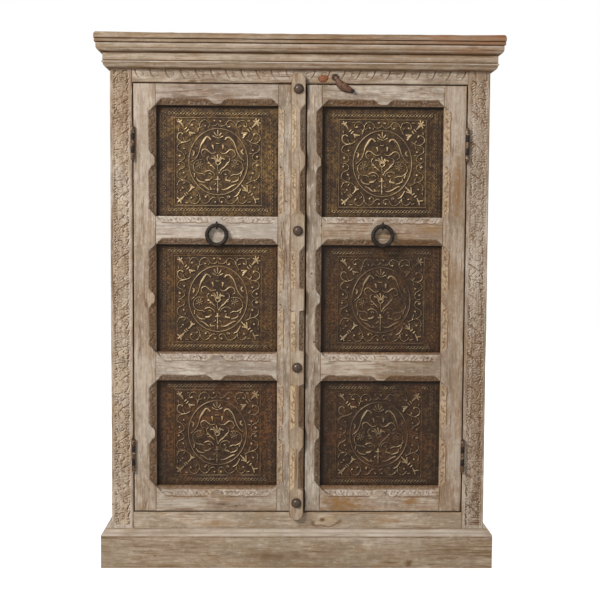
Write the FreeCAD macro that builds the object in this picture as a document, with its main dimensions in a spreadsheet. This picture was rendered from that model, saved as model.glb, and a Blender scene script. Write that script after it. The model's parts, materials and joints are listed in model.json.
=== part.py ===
import FreeCAD, Part
import os
import re

doc = FreeCAD.newDocument("two_door_cabinet")

# Driving sizes in millimetres and degrees. The cabinet stands on the floor at height 0,
# its width runs along X about the middle, and its doors face -Y.
SIZES = {
    # Carcass: corner posts, rails, sides, back, top, floor and shelves
    "total_height": 1232.6,
    "body_width": 872.0,
    "body_depth": 410.0,
    "post_width": 50.5,
    "post_depth": 36.0,
    "rear_post_width": 40.0,
    "rear_post_depth": 24.0,
    "head_reveal": 29.9,
    "sill_reveal": 38.1,
    "sill_drop": 45.0,
    "frame_tenon_length": 24.0,
    "frame_tenon_thickness": 10.0,
    "frame_tenon_shoulder": 9.0,
    "side_inset": 6.0,
    "side_thickness": 16.0,
    "side_groove": 8.0,
    "skirt_lift": 30.0,
    "back_thickness": 12.0,
    "back_rabbet": 10.0,
    "top_thickness": 18.0,
    "floor_thickness": 18.0,
    "shelf_thickness": 18.0,
    "lower_shelf_share": 0.326,
    "upper_shelf_share": 0.652,
    "cleat_size": 18.0,
    "cleat_setback": 20.0,
    "fit_clearance": 0.2,
    "tenon_slack": 1.0,
    # Cornice, from the bottom of its profile to the top
    "bed_lip": 2.0,
    "bed_round": 12.5,
    "bed_fillet": 4.0,
    "bed_fillet_out": 16.5,
    "fascia_height": 20.0,
    "fascia_out": 15.0,
    "crown_round": 11.0,
    "crown_neck": 9.0,
    "crown_height": 18.9,
    "crown_edge": 5.0,
    "cornice_out": 30.0,
    # Plinth
    "plinth_height": 75.6,
    "plinth_front_out": 10.0,
    "plinth_front_slope": 16.7,
    "plinth_side_out": 20.5,
    "plinth_side_slope": 35.0,
    # Doors: frame, panels and the cut of the stopped chamfers
    "door_gap": 3.0,
    "door_proud": 0.3,
    "door_thickness": 34.0,
    "hinge_stile_width": 50.5,
    "centre_stile_width": 50.5,
    "top_rail_height": 47.2,
    "upper_panel_share": 0.3381,
    "upper_rail_height": 64.6,
    "lower_rail_height": 66.9,
    "lower_panel_share": 0.3299,
    "bottom_rail_height": 57.7,
    "door_tenon_length": 17.0,
    "door_tenon_shoulder": 13.0,
    "panel_recess": 19.0,
    "panel_tongue": 8.0,
    "groove_slack": 1.0,
    "brass_thickness": 1.0,
    "panel_board_thickness": 7.0,
    "chamfer_width": 14.0,
    "chamfer_depth": 10.0,
    "chamfer_tab": 35.0,
    "chamfer_tab_stop": 10.0,
    # Astragal strip and its studs
    "astragal_centre": -4.6,
    "astragal_width": 33.2,
    "astragal_thickness": 12.0,
    "astragal_top_lap": 26.1,
    "astragal_bottom_lap": 19.0,
    "astragal_cut_width": 11.0,
    "astragal_cut_depth": 8.0,
    "astragal_cut_stop": 15.0,
    "astragal_stud_tab": 62.0,
    "astragal_mid_tab": 20.0,
    "stud_radius": 12.0,
    "stud_height": 9.0,
    "stud_shank_radius": 3.0,
    "stud_shank_length": 36.0,
    "stud_top_inset": 11.0,
    "stud_bottom_inset": 22.0,
    "drive_fit": 0.05,
    # Butt hinges
    "hinge_length": 76.0,
    "hinge_top_inset": 136.1,
    "hinge_bottom_inset": 132.0,
    "hinge_proud": 5.5,
    "leaf_thickness": 1.4,
    "leaf_depth": 22.0,
    "knuckle_radius": 4.5,
    "knuckle_gap": 0.4,
    "pin_radius": 2.0,
    "pin_clearance": 0.05,
    "pin_head_radius": 3.2,
    "pin_head_height": 1.6,
    "screw_radius": 1.6,
    "screw_head_radius": 3.2,
    "screw_length": 18.0,
    "screw_pitch": 25.0,
    # Ring pulls
    "ring_radius": 22.3,
    "ring_wire": 4.7,
    "ring_clearance": 0.35,
    "staple_wire": 2.2,
    "staple_rise": 11.9,
    "staple_clench": 14.0,
    # Hasp of the top corner and its nail
    "hasp_length": 51.0,
    "hasp_angle": 37.7,
    "hasp_pivot_x": 118.9,
    "hasp_pivot_drop": 14.1,
    "hasp_eye_radius": 4.4,
    "hasp_eye_wire": 1.6,
    "hasp_neck_radius": 3.2,
    "hasp_belly": 30.0,
    "hasp_belly_radius": 9.0,
    "hasp_tip_radius": 5.2,
    "hasp_seat": 3.0,
    "hasp_seat_radius": 5.0,
    "hasp_clearance": 0.5,
    "nail_radius": 1.9,
    "nail_clearance": 0.08,
    "nail_head_radius": 4.4,
    "nail_head_height": 2.4,
    "nail_depth": 20.0,
}

# Places that follow from the sizes, written as formulas of them
PLACES = {
    "half": "body_width / 2",
    "face": "(cornice_out - body_depth) / 2",
    "back": "face + body_depth",
    "post_inner": "half - post_width",
    "post_rear": "face + post_depth",
    "rear_inner": "half - rear_post_width",
    "rear_front": "back - rear_post_depth",
    "side_outer": "half - side_inset",
    "side_inner": "side_outer - side_thickness",
    "plinth_top": "plinth_height + plinth_front_slope",
    "sill_top": "plinth_top + sill_reveal",
    "sill_bottom": "plinth_top - sill_drop",
    "cornice_height": "bed_round + bed_fillet + fascia_height + crown_round + crown_neck + crown_height",
    "body_top": "total_height - cornice_height",
    "head_bottom": "body_top - head_reveal",
    "door_top": "head_bottom - door_gap",
    "door_bottom": "sill_top + door_gap",
    "rail_room": "top_rail_height + upper_rail_height + lower_rail_height + bottom_rail_height",
    "panel_room": "door_top - door_bottom - rail_room",
    "upper_panel_height": "panel_room * upper_panel_share",
    "lower_panel_height": "panel_room * lower_panel_share",
    "lower_panel_bottom": "door_bottom + bottom_rail_height",
    "lower_panel_top": "lower_panel_bottom + lower_panel_height",
    "middle_panel_bottom": "lower_panel_top + lower_rail_height",
    "upper_panel_top": "door_top - top_rail_height",
    "upper_panel_bottom": "upper_panel_top - upper_panel_height",
    "middle_panel_top": "upper_panel_bottom - upper_rail_height",
    "fillet_bottom": "body_top + bed_round",
    "fascia_bottom": "fillet_bottom + bed_fillet",
    "round_bottom": "fascia_bottom + fascia_height",
    "neck_bottom": "round_bottom + crown_round",
    "crown_bottom": "neck_bottom + crown_neck",
    "crown_top": "total_height",
    "post_top": "crown_top - top_thickness",
    "door_face": "face - door_proud",
    "door_back": "door_face + door_thickness",
    "door_edge": "post_inner - door_gap",
    "opening_outer": "door_edge - hinge_stile_width",
    "opening_inner": "centre_stile_width",
    "opening_middle": "(opening_inner + opening_outer) / 2",
    "groove_front": "door_face + panel_recess",
    "board_front": "groove_front + fit_clearance + brass_thickness",
    "board_back": "board_front + panel_board_thickness",
    "groove_back": "board_back + fit_clearance",
    "groove_depth": "panel_tongue + groove_slack",
    "astragal_left": "astragal_centre - astragal_width / 2",
    "astragal_right": "astragal_centre + astragal_width / 2",
    "astragal_front": "door_face - astragal_thickness",
    "stud_ball": "(stud_radius * stud_radius + stud_height * stud_height) / (2 * stud_height)",
    "upper_rail_middle": "(middle_panel_top + upper_panel_bottom) / 2",
    "lower_rail_middle": "(lower_panel_top + middle_panel_bottom) / 2",
    "hinge_axis_y": "face - hinge_proud",
    "hinge_axis_out": "door_edge + door_gap / 2",
    "eye_inner": "ring_wire + ring_clearance",
    "ring_stand": "eye_inner + 2 * staple_wire",
    "ring_y": "door_face - ring_stand",
    "ring_z": "upper_rail_middle + staple_rise",
    "hasp_y": "door_face - hasp_clearance - hasp_eye_wire",
    "hasp_pivot_z": "door_top - hasp_pivot_drop",
}

AXES = {
    "+x": FreeCAD.Vector(1, 0, 0),
    "-x": FreeCAD.Vector(-1, 0, 0),
    "+y": FreeCAD.Vector(0, 1, 0),
    "-y": FreeCAD.Vector(0, -1, 0),
    "+z": FreeCAD.Vector(0, 0, 1),
    "-z": FreeCAD.Vector(0, 0, -1),
}
SIDES = {"left": -1, "right": 1}
PANELS = ("upper", "middle", "lower")
FRAME_KNUCKLES = (0, 2, 4)
DOOR_KNUCKLES = (1, 3)
KNUCKLES = 5

sheet = doc.addObject("Spreadsheet::Sheet", "Sizes")
for row, (size_name, size_value) in enumerate(SIZES.items(), start=1):
    sheet.set(f"A{row}", size_name)
    sheet.set(f"B{row}", str(size_value))
    sheet.setAlias(f"B{row}", size_name)
doc.recompute()

pieces = []


def formula(text):
    """The text with each place written out and each size read from the sheet."""
    def written(match):
        word = match.group(0)
        if word in PLACES:
            return f"({formula(PLACES[word])})"
        if word in SIZES:
            return f"Sizes.{word}"
        return word
    return re.sub(r"[a-z_]+", written, str(text))


def bind(item, sizes, place=("0", "0", "0")):
    """Ties the named properties and the position of an object to formulas."""
    for name, text in sizes.items():
        item.setExpression(name, formula(text))
    for axis, text in zip("xyz", place):
        item.setExpression(f"Placement.Base.{axis}", formula(text))
    return item


def turned_to(item, axis):
    """Turns an object so that its own Z axis points along the named axis."""
    item.Placement.Rotation = FreeCAD.Rotation(AXES["+z"], AXES[axis])
    return item


def block(x, y, z):
    """A box between low and high formulas on each axis."""
    box = doc.addObject("Part::Box", "block")
    sizes = {}
    for name, (low, high) in zip(("Length", "Width", "Height"), (x, y, z)):
        sizes[name] = f"({high}) - ({low})"
    return bind(box, sizes, (x[0], y[0], z[0]))


def rod(axis, place, radius, length, sweep=360):
    """A cylinder, or a sector of one, that starts at a place and runs along an axis."""
    cylinder = turned_to(doc.addObject("Part::Cylinder", "rod"), axis)
    cylinder.Angle = sweep
    return bind(cylinder, {"Radius": radius, "Height": length}, place)


def cone(axis, place, start_radius, end_radius, length):
    """A cone frustum that starts at a place and runs along an axis."""
    taper = turned_to(doc.addObject("Part::Cone", "cone"), axis)
    return bind(taper, {"Radius1": start_radius, "Radius2": end_radius, "Height": length}, place)


def hoop(axis, place, radius, wire):
    """A round ring about an axis."""
    torus = turned_to(doc.addObject("Part::Torus", "hoop"), axis)
    return bind(torus, {"Radius1": radius, "Radius2": wire}, place)


def wedge(along, into, place, length, stops, width, depth):
    """A prism that is full length at its base and loses a stop at each end over its width."""
    tool = doc.addObject("Part::Wedge", "wedge")
    across = AXES[along].cross(AXES[into])
    tool.Placement.Rotation = FreeCAD.Rotation(AXES[along], AXES[into], across, "XYZ")
    sizes = {
        "Xmin": "0", "Xmax": length, "X2min": stops[0], "X2max": f"({length}) - ({stops[1]})",
        "Ymin": "0", "Ymax": width,
        "Zmin": "0", "Zmax": depth[0], "Z2min": "0", "Z2max": depth[1],
    }
    return bind(tool, sizes, place)


def joined(parts):
    """One solid out of parts that meet, or the part itself when there is only one."""
    if len(parts) == 1:
        return parts[0]
    fuse = doc.addObject("Part::MultiFuse", "joined")
    fuse.Shapes = parts
    fuse.Refine = True
    return fuse


def cut(base, tools):
    """The base without the room that the tools take."""
    if not tools:
        return base
    result = doc.addObject("Part::Cut", "cut")
    result.Base = base
    result.Tool = joined(tools)
    result.Refine = True
    return result


def group(parts):
    """Separate solids held together as one object."""
    bundle = doc.addObject("Part::Compound", "group")
    bundle.Links = parts
    return bundle


def piece(label, item):
    """Names an object as a finished sub-part."""
    item.Label = label
    pieces.append(item)
    return item


def across(side, near, far):
    """Low and high X of a span given by its distances from the middle towards one side."""
    if side > 0:
        return (near, far)
    return (f"-({far})", f"-({near})")


def out(side, distance):
    """X at a distance from the middle towards one side."""
    return distance if side > 0 else f"-({distance})"


def outward(side):
    """Name of the X axis that points to one side."""
    return "+x" if side > 0 else "-x"


def chamfer(into, low, high, edge, stops_at, face="door_face", cut_name="chamfer"):
    """Tool for one run of stopped chamfer on a front arris, with a stop at its low and high end."""
    low_stop, high_stop = stops_at
    length = f"({high}) - ({low})"
    along = {"+x": "+z", "-x": "-z", "+z": "-x", "-z": "+x"}[into]
    forward = along[0] == "+"
    start = low if forward else high
    stops = (low_stop, high_stop) if forward else (high_stop, low_stop)
    place = (edge, face, start) if into[1] == "x" else (start, face, edge)
    return wedge(along, into, place, length, stops, f"{cut_name}_width", (f"{cut_name}_depth", "0"))


def chamfer_pair(into, low, high, edge):
    """Tools for the two runs on one side of an opening, with the uncut tab between them."""
    middle = f"(({low}) + ({high})) / 2"
    tab_low = f"{middle} - chamfer_tab / 2"
    tab_high = f"{middle} + chamfer_tab / 2"
    return [
        chamfer(into, low, tab_low, edge, ("chamfer_width", "chamfer_tab_stop")),
        chamfer(into, tab_high, high, edge, ("chamfer_tab_stop", "chamfer_width")),
    ]


def screw(axis, place, grow):
    """A countersunk screw whose head starts at a place, made larger all round by a fit."""
    x, y, z = place
    sign = "+" if axis[0] == "+" else "-"
    neck = (f"({x}) {sign} leaf_thickness", y, z)
    return joined([
        cone(axis, place, f"screw_head_radius + {grow}", f"screw_radius + {grow}", "leaf_thickness"),
        rod(axis, neck, f"screw_radius + {grow}", f"screw_length - leaf_thickness + {grow}"),
    ])


def hinge_middles():
    """Heights of the two hinges of a door."""
    return ("door_top - hinge_top_inset", "door_bottom + hinge_bottom_inset")


def leaf_screws(axis, x, grow):
    """Screws of the two leaves on one edge, three to a leaf."""
    screws = []
    for middle in hinge_middles():
        for step in (-1, 0, 1):
            place = (x, "face + leaf_depth * 0.6", f"{middle} + {step} * screw_pitch")
            screws.append(screw(axis, place, grow))
    return screws


def knuckles(side, middle, numbers, grow, gap):
    """Barrels of one hinge, counted from below, made larger by a fit."""
    barrels = []
    for number in numbers:
        bottom = f"{middle} - hinge_length / 2 + hinge_length * {number} / {KNUCKLES}"
        place = (out(side, "hinge_axis_out"), "hinge_axis_y", f"{bottom} + ({gap}) / 2")
        barrels.append(rod("+z", place, f"knuckle_radius + {grow}", f"hinge_length / {KNUCKLES} - ({gap})"))
    return barrels


def hinge_leaves(side, near, far, own, other, screws):
    """Both leaves on one edge: plates with their knuckles, bored for the pin and the screws."""
    leaves = []
    for middle in hinge_middles():
        span = (f"{middle} - hinge_length / 2", f"{middle} + hinge_length / 2")
        plate = block(across(side, near, far), ("hinge_axis_y", "face + leaf_depth"), span)
        room = knuckles(side, middle, other, "knuckle_gap", "-knuckle_gap")
        leaf = joined([cut(plate, room)] + knuckles(side, middle, own, "0", "knuckle_gap"))
        bore_place = (out(side, "hinge_axis_out"), "hinge_axis_y", f"{span[0]} - 1")
        bore = rod("+z", bore_place, "pin_radius + pin_clearance", "hinge_length + 2")
        leaves.append(cut(leaf, [bore]))
    return [cut(leaf, leaf_screws(*screws, "drive_fit")) for leaf in leaves]


def post_mortise(side, low, high):
    """Room for a frame tenon in the inner face of a front post."""
    reach = across(side, "post_inner", "post_inner + frame_tenon_length + tenon_slack")
    middle = "face + post_depth / 2"
    depth = (
        f"{middle} - frame_tenon_thickness / 2 - fit_clearance",
        f"{middle} + frame_tenon_thickness / 2 + fit_clearance",
    )
    height = (
        f"{low} + frame_tenon_shoulder - fit_clearance",
        f"{high} - frame_tenon_shoulder + fit_clearance",
    )
    return block(reach, depth, height)


def frame_rail(low, high):
    """A rail between the front posts with a tenon at each end."""
    middle = "face + post_depth / 2"
    depth = (f"{middle} - frame_tenon_thickness / 2", f"{middle} + frame_tenon_thickness / 2")
    height = (f"{low} + frame_tenon_shoulder", f"{high} - frame_tenon_shoulder")
    reach = ("-(post_inner + frame_tenon_length)", "post_inner + frame_tenon_length")
    body = block(("-(post_inner)", "post_inner"), ("face", "post_rear"), (low, high))
    return joined([body, block(reach, depth, height)])


# Corner posts, grooved for the side boards; the front ones take the rails and the hinges
for hand, side in SIDES.items():
    side_room = across(side, "side_inner - fit_clearance", "side_outer + fit_clearance")
    front = block(across(side, "post_inner", "half"), ("face", "post_rear"), ("0", "post_top"))
    front_tools = [
        block(side_room, ("post_rear - side_groove", "post_rear"), ("0", "post_top")),
        post_mortise(side, "head_bottom", "post_top"),
        post_mortise(side, "sill_bottom", "sill_top"),
    ]
    leaf_face = out(side, "post_inner - leaf_thickness")
    front_tools += leaf_screws(outward(side), leaf_face, "drive_fit")
    piece(f"{hand}_front_post", cut(front, front_tools))

    rear = block(across(side, "rear_inner", "half"), ("rear_front", "back"), ("0", "post_top"))
    rear_groove = block(side_room, ("rear_front", "rear_front + side_groove"), ("0", "post_top"))
    rabbet_reach = across(side, "rear_inner", "rear_inner + back_rabbet")
    rabbet = block(rabbet_reach, ("rear_front", "rear_front + back_thickness"), ("0", "post_top"))
    piece(f"{hand}_rear_post", cut(rear, [rear_groove, rabbet]))

# Rails of the front frame
piece("head_rail", frame_rail("head_bottom", "post_top"))
piece("sill_rail", frame_rail("sill_bottom", "sill_top"))

# Upright planks of the two sides and of the back
SIDE_PLANKS = 3
BACK_PLANKS = 5
for hand, side in SIDES.items():
    start = "post_rear - side_groove + fit_clearance"
    width = f"(rear_front + side_groove - fit_clearance - ({start})) / {SIDE_PLANKS}"
    planks = []
    for number in range(SIDE_PLANKS):
        depth = (f"{start} + {number} * {width}", f"{start} + {number + 1} * {width} - fit_clearance")
        planks.append(block(across(side, "side_inner", "side_outer"), depth, ("skirt_lift", "post_top")))
    piece(f"{hand}_side_boards", group(planks))

back_start = "-(rear_inner + back_rabbet - fit_clearance)"
back_width = f"2 * (rear_inner + back_rabbet - fit_clearance) / {BACK_PLANKS}"
back_planks = []
for number in range(BACK_PLANKS):
    reach = (
        f"{back_start} + {number} * {back_width}",
        f"{back_start} + {number + 1} * {back_width} - fit_clearance",
    )
    back_planks.append(block(reach, ("rear_front", "rear_front + back_thickness"), ("skirt_lift", "post_top")))
piece("back_boards", group(back_planks))

# Floor and shelves on cleats along the sides
LEVELS = {
    "bottom_board": ("sill_top", "floor_thickness"),
    "lower_shelf": ("sill_top + (head_bottom - sill_top) * lower_shelf_share", "shelf_thickness"),
    "upper_shelf": ("sill_top + (head_bottom - sill_top) * upper_shelf_share", "shelf_thickness"),
}
shelf_reach = ("-(side_inner - fit_clearance)", "side_inner - fit_clearance")
shelf_depth = ("post_rear", "rear_front - fit_clearance")
cleat_depth = ("post_rear + cleat_setback", "rear_front - cleat_setback")
cleats = []
for label, (top, thickness) in LEVELS.items():
    under = f"{top} - {thickness}"
    piece(label, block(shelf_reach, shelf_depth, (under, top)))
    for side in SIDES.values():
        reach = across(side, "side_inner - cleat_size", "side_inner")
        cleats.append(block(reach, cleat_depth, (f"{under} - cleat_size", under)))
piece("shelf_cleats", group(cleats))

# Top planks, which lie on the posts and the rails inside the cornice
TOP_PLANKS = 3
top_planks = []
for number in range(TOP_PLANKS):
    depth = (
        f"face + {number} * body_depth / {TOP_PLANKS}",
        f"face + {number + 1} * body_depth / {TOP_PLANKS} - fit_clearance * {int(number < TOP_PLANKS - 1)}",
    )
    top_planks.append(block(("-half", "half"), depth, ("post_top", "crown_top")))
piece("top_boards", group(top_planks))


# Cornice: bed moulding, fillet, fascia, round, neck and crown, mitred at the front corners
def moulding(run, span):
    """The cornice profile along one side; run is that side's name, span its low and high."""
    low, high = span
    length = f"({high}) - ({low})"
    bands = [
        ("body_top", "fillet_bottom", "bed_lip"),
        ("fillet_bottom", "fascia_bottom", "bed_fillet_out"),
        ("fascia_bottom", "round_bottom", "fascia_out"),
        ("round_bottom", "neck_bottom", "fascia_out"),
        ("neck_bottom", "crown_bottom", "fascia_out + crown_round"),
        ("crown_bottom", "crown_top - crown_edge", "cornice_out"),
        ("crown_top - crown_edge", "crown_top", "cornice_out - crown_edge"),
    ]
    rounds = [
        ("bed_lip", "fillet_bottom", "bed_round", ""),
        ("fascia_out", "neck_bottom", "crown_round", ""),
        ("cornice_out - crown_edge", "crown_top - crown_edge", "crown_edge", "+z"),
    ]
    parts = []
    for bottom, top, reach in bands:
        if run == "front":
            parts.append(block((low, high), (f"face - ({reach})", "face"), (bottom, top)))
        else:
            parts.append(block(across(SIDES[run], "half", f"half + {reach}"), (low, high), (bottom, top)))
    axis, outer = {"front": ("+x", "-y"), "left": ("-y", "-x"), "right": ("+y", "+x")}[run]
    for reach, height, radius, first in rounds:
        if run == "front":
            place = (low, f"face - ({reach})", height)
        else:
            start = high if axis == "-y" else low
            place = (out(SIDES[run], f"half + {reach}"), start, height)
        sector = rod(axis, place, radius, length, 90)
        begin = AXES[first or outer]
        sector.Placement.Rotation = FreeCAD.Rotation(begin, AXES[axis].cross(begin), AXES[axis], "ZXY")
        parts.append(sector)
    return joined(parts)


mitre_height = "crown_top - body_top"
mitre_reach = "cornice_out"


def mitre_tool(along, into, place):
    """Everything past a mitre plane, from nothing at the outer edge to the full reach inside."""
    return wedge(along, into, place, mitre_reach, (mitre_reach, "0"), mitre_reach, (mitre_height, mitre_height))


front_ends = []
for side in SIDES.values():
    base_height = "crown_top" if side > 0 else "body_top"
    front_ends.append(mitre_tool(outward(side), "-y", (out(side, "half"), "face", base_height)))
front_span = ("-(half + cornice_out)", "half + cornice_out")
piece("cornice_front", cut(moulding("front", front_span), front_ends))
for hand, side in SIDES.items():
    base_height = "body_top" if side > 0 else "crown_top"
    end = mitre_tool("-y", outward(side), (out(side, "half"), "face", base_height))
    piece(f"cornice_{hand}", cut(moulding(hand, ("face - cornice_out", "back")), [end]))

# Plinth boards with sloped tops; the front one covers the ends of the two side ones
plinth_half = "half + plinth_side_out"
plinth_stop = "plinth_side_out * plinth_front_slope / plinth_side_slope"
plinth_front_base = block(
    (f"-({plinth_half})", plinth_half), ("face - plinth_front_out", "face"), ("0", "plinth_height"))
plinth_front_slope = wedge(
    "+x", "+z", (f"-({plinth_half})", "face", "plinth_height"), f"2 * ({plinth_half})",
    (plinth_stop, plinth_stop), "plinth_front_slope", ("plinth_front_out", "0"))
piece("plinth_front", joined([plinth_front_base, plinth_front_slope]))
for hand, side in SIDES.items():
    base = block(across(side, "half", plinth_half), ("face", "back"), ("0", "plinth_height"))
    along, start = ("+y", "face") if side > 0 else ("-y", "back")
    slope = wedge(
        along, "+z", (out(side, "half"), start, "plinth_height"), "body_depth",
        ("0", "0"), "plinth_side_slope", ("plinth_side_out", "0"))
    piece(f"plinth_{hand}", joined([base, slope]))

# Doors: mortised stiles, tenoned rails, and boards faced with brass sheet in their grooves
RAILS = {
    "top": ("upper_panel_top", "door_top"),
    "upper": ("middle_panel_top", "upper_panel_bottom"),
    "lower": ("lower_panel_top", "middle_panel_bottom"),
    "bottom": ("door_bottom", "lower_panel_bottom"),
}
FREE_EDGES = {"left": "-(astragal_right)", "right": "astragal_right + door_gap"}
STUDS = (
    "door_top - stud_top_inset",
    "upper_rail_middle",
    "lower_rail_middle",
    "door_bottom + stud_bottom_inset",
)
groove_y = ("groove_front", "groove_back")
tenon_y = ("groove_front + fit_clearance", "groove_back - fit_clearance")
door_y = ("door_face", "door_back")


def stud_holes():
    """Room for the stud shanks through the strip and into the stile."""
    place_y = "astragal_front"
    radius = "stud_shank_radius + drive_fit"
    length = "stud_shank_length + drive_fit"
    return [rod("+y", ("astragal_centre", place_y, height), radius, length) for height in STUDS]


def stile_tools(side, edge, into, groove, mortise):
    """Tools that every stile takes on its panel edge: groove, four mortises and chamfers."""
    tools = [block(groove, groove_y, ("door_bottom", "door_top"))]
    for low, high in RAILS.values():
        height = (
            f"{low} + door_tenon_shoulder - fit_clearance",
            f"{high} - door_tenon_shoulder + fit_clearance",
        )
        tools.append(block(mortise, groove_y, height))
    for name in PANELS:
        tools += chamfer_pair(into, f"{name}_panel_bottom", f"{name}_panel_top", out(side, edge))
    return tools


for hand, side in SIDES.items():
    door_z = ("door_bottom", "door_top")
    mortise_depth = "door_tenon_length + tenon_slack"

    hinge_tools = stile_tools(
        side, "opening_outer", outward(side),
        across(side, "opening_outer", "opening_outer + groove_depth"),
        across(side, "opening_outer", f"opening_outer + {mortise_depth}"))
    hinge_tools += leaf_screws(outward(-side), out(side, "door_edge + leaf_thickness"), "drive_fit")
    hinge_stile = block(across(side, "opening_outer", "door_edge"), door_y, door_z)
    piece(f"{hand}_hinge_stile", cut(hinge_stile, hinge_tools))

    meeting_tools = stile_tools(
        side, "opening_inner", outward(-side),
        across(side, "opening_inner - groove_depth", "opening_inner"),
        across(side, f"opening_inner - ({mortise_depth})", "opening_inner"))
    if hand == "left":
        meeting_tools += stud_holes()
    meeting_stile = block(across(side, FREE_EDGES[hand], "opening_inner"), door_y, door_z)
    piece(f"{hand}_meeting_stile", cut(meeting_stile, meeting_tools))

    rail_x = across(side, "opening_inner", "opening_outer")
    tenon_x = across(side, "opening_inner - door_tenon_length", "opening_outer + door_tenon_length")
    ring_x = out(side, "opening_middle")
    for name, (low, high) in RAILS.items():
        tenon_z = (f"{low} + door_tenon_shoulder", f"{high} - door_tenon_shoulder")
        body = joined([block(rail_x, door_y, (low, high)), block(tenon_x, tenon_y, tenon_z)])
        tools = []
        if name != "bottom":
            tools.append(block(rail_x, groove_y, (low, f"{low} + groove_depth")))
            tools += chamfer_pair("+z", *rail_x, low)
        if name != "top":
            tools.append(block(rail_x, groove_y, (f"{high} - groove_depth", high)))
            tools += chamfer_pair("-z", *rail_x, high)
        if name == "upper":
            tools.append(rod(
                "+y", (ring_x, "door_face", "ring_z"), "staple_wire + drive_fit", "door_thickness"))
        if name == "top" and hand == "right":
            tools.append(rod(
                "+y", ("hasp_pivot_x", "door_face", "hasp_pivot_z"),
                "nail_radius + drive_fit", "nail_depth + drive_fit"))
        piece(f"{hand}_{name}_rail", cut(body, tools))

    panel_x = across(side, "opening_inner - panel_tongue", "opening_outer + panel_tongue")
    for name in PANELS:
        panel_z = (f"{name}_panel_bottom - panel_tongue", f"{name}_panel_top + panel_tongue")
        piece(f"{hand}_{name}_board", block(panel_x, ("board_front", "board_back"), panel_z))
        brass_y = ("groove_front + fit_clearance", "board_front")
        piece(f"{hand}_{name}_brass", block(panel_x, brass_y, panel_z))

    staple_y = "ring_y + eye_inner + staple_wire"
    piece(f"{hand}_ring_staple", joined([
        hoop("+x", (ring_x, "ring_y", "ring_z"), "eye_inner + staple_wire", "staple_wire"),
        rod("+y", (ring_x, staple_y, "ring_z"), "staple_wire", f"door_back + staple_wire - ({staple_y})"),
        rod("+z", (ring_x, "door_back + staple_wire", "ring_z - staple_clench / 2"),
            "staple_wire", "staple_clench"),
    ]))
    piece(f"{hand}_ring_pull", hoop(
        "+y", (ring_x, "ring_y", "ring_z - ring_radius"), "ring_radius", "ring_wire"))

# Astragal strip on the left door, chamfered between its studs and the panel middles
strip_low = "door_bottom - astragal_bottom_lap"
strip_high = "door_top + astragal_top_lap"
strip_end = "astragal_width / 2"
strip = joined([
    block(("astragal_left", "astragal_right"), ("astragal_front", "door_face"),
          (f"{strip_low} + {strip_end}", f"{strip_high} - {strip_end}")),
    rod("+y", ("astragal_centre", "astragal_front", f"{strip_low} + {strip_end}"),
        strip_end, "astragal_thickness"),
    rod("+y", ("astragal_centre", "astragal_front", f"{strip_high} - {strip_end}"),
        strip_end, "astragal_thickness"),
])
tabs = []
for height, name in zip(STUDS, PANELS):
    tabs.append((height, "astragal_stud_tab"))
    tabs.append((f"({name}_panel_bottom + {name}_panel_top) / 2", "astragal_mid_tab"))
tabs.append((STUDS[-1], "astragal_stud_tab"))
strip_tools = stud_holes()
cut_stops = ("astragal_cut_stop", "astragal_cut_stop")
for (upper, upper_tab), (lower, lower_tab) in zip(tabs, tabs[1:]):
    low = f"{lower} + {lower_tab} / 2"
    high = f"{upper} - {upper_tab} / 2"
    for into, edge in (("+x", "astragal_left"), ("-x", "astragal_right")):
        strip_tools.append(chamfer(into, low, high, edge, cut_stops, "astragal_front", "astragal_cut"))
piece("astragal", cut(strip, strip_tools))

studs = []
for height in STUDS:
    dome = turned_to(doc.addObject("Part::Sphere", "dome"), "-y")
    dome_sizes = {"Radius": "stud_ball", "Angle1": "asin((stud_ball - stud_height) / stud_ball)"}
    bind(dome, dome_sizes, ("astragal_centre", "astragal_front + stud_ball - stud_height", height))
    shank = rod("+y", ("astragal_centre", "astragal_front", height), "stud_shank_radius", "stud_shank_length")
    studs.append(joined([dome, shank]))
piece("astragal_studs", group(studs))

# Butt hinges: leaves on the posts and on the doors, a pin through each, and their screws
frame_leaves = []
frame_screws = []
pins = []
for hand, side in SIDES.items():
    frame_face = (outward(side), out(side, "post_inner - leaf_thickness"))
    door_leaf_face = (outward(-side), out(side, "door_edge + leaf_thickness"))
    frame_leaves += hinge_leaves(
        side, "post_inner - leaf_thickness", "post_inner", FRAME_KNUCKLES, DOOR_KNUCKLES, frame_face)
    frame_screws += leaf_screws(*frame_face, "0")
    door_leaves = hinge_leaves(
        side, "door_edge", "door_edge + leaf_thickness", DOOR_KNUCKLES, FRAME_KNUCKLES, door_leaf_face)
    piece(f"{hand}_hinge_leaves", group(door_leaves))
    piece(f"{hand}_hinge_screws", group(leaf_screws(*door_leaf_face, "0")))
    for middle in hinge_middles():
        pin_x = out(side, "hinge_axis_out")
        top = f"{middle} + hinge_length / 2"
        pins.append(joined([
            rod("+z", (pin_x, "hinge_axis_y", f"{middle} - hinge_length / 2"), "pin_radius", "hinge_length"),
            rod("+z", (pin_x, "hinge_axis_y", top), "pin_head_radius", "pin_head_height"),
        ]))
piece("frame_hinge_leaves", group(frame_leaves))
piece("hinge_pins", group(pins))
piece("frame_hinge_screws", group(frame_screws))

# Hasp of the right door: an eye and a bulged tongue in one, turning on a nail at its lower end
wide = ("-2 * hasp_belly_radius", "2 * hasp_belly_radius")
ball = doc.addObject("Part::Sphere", "ball")
bind(ball, {"Radius": "hasp_tip_radius"}, ("hasp_length", "0", "0"))
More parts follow.
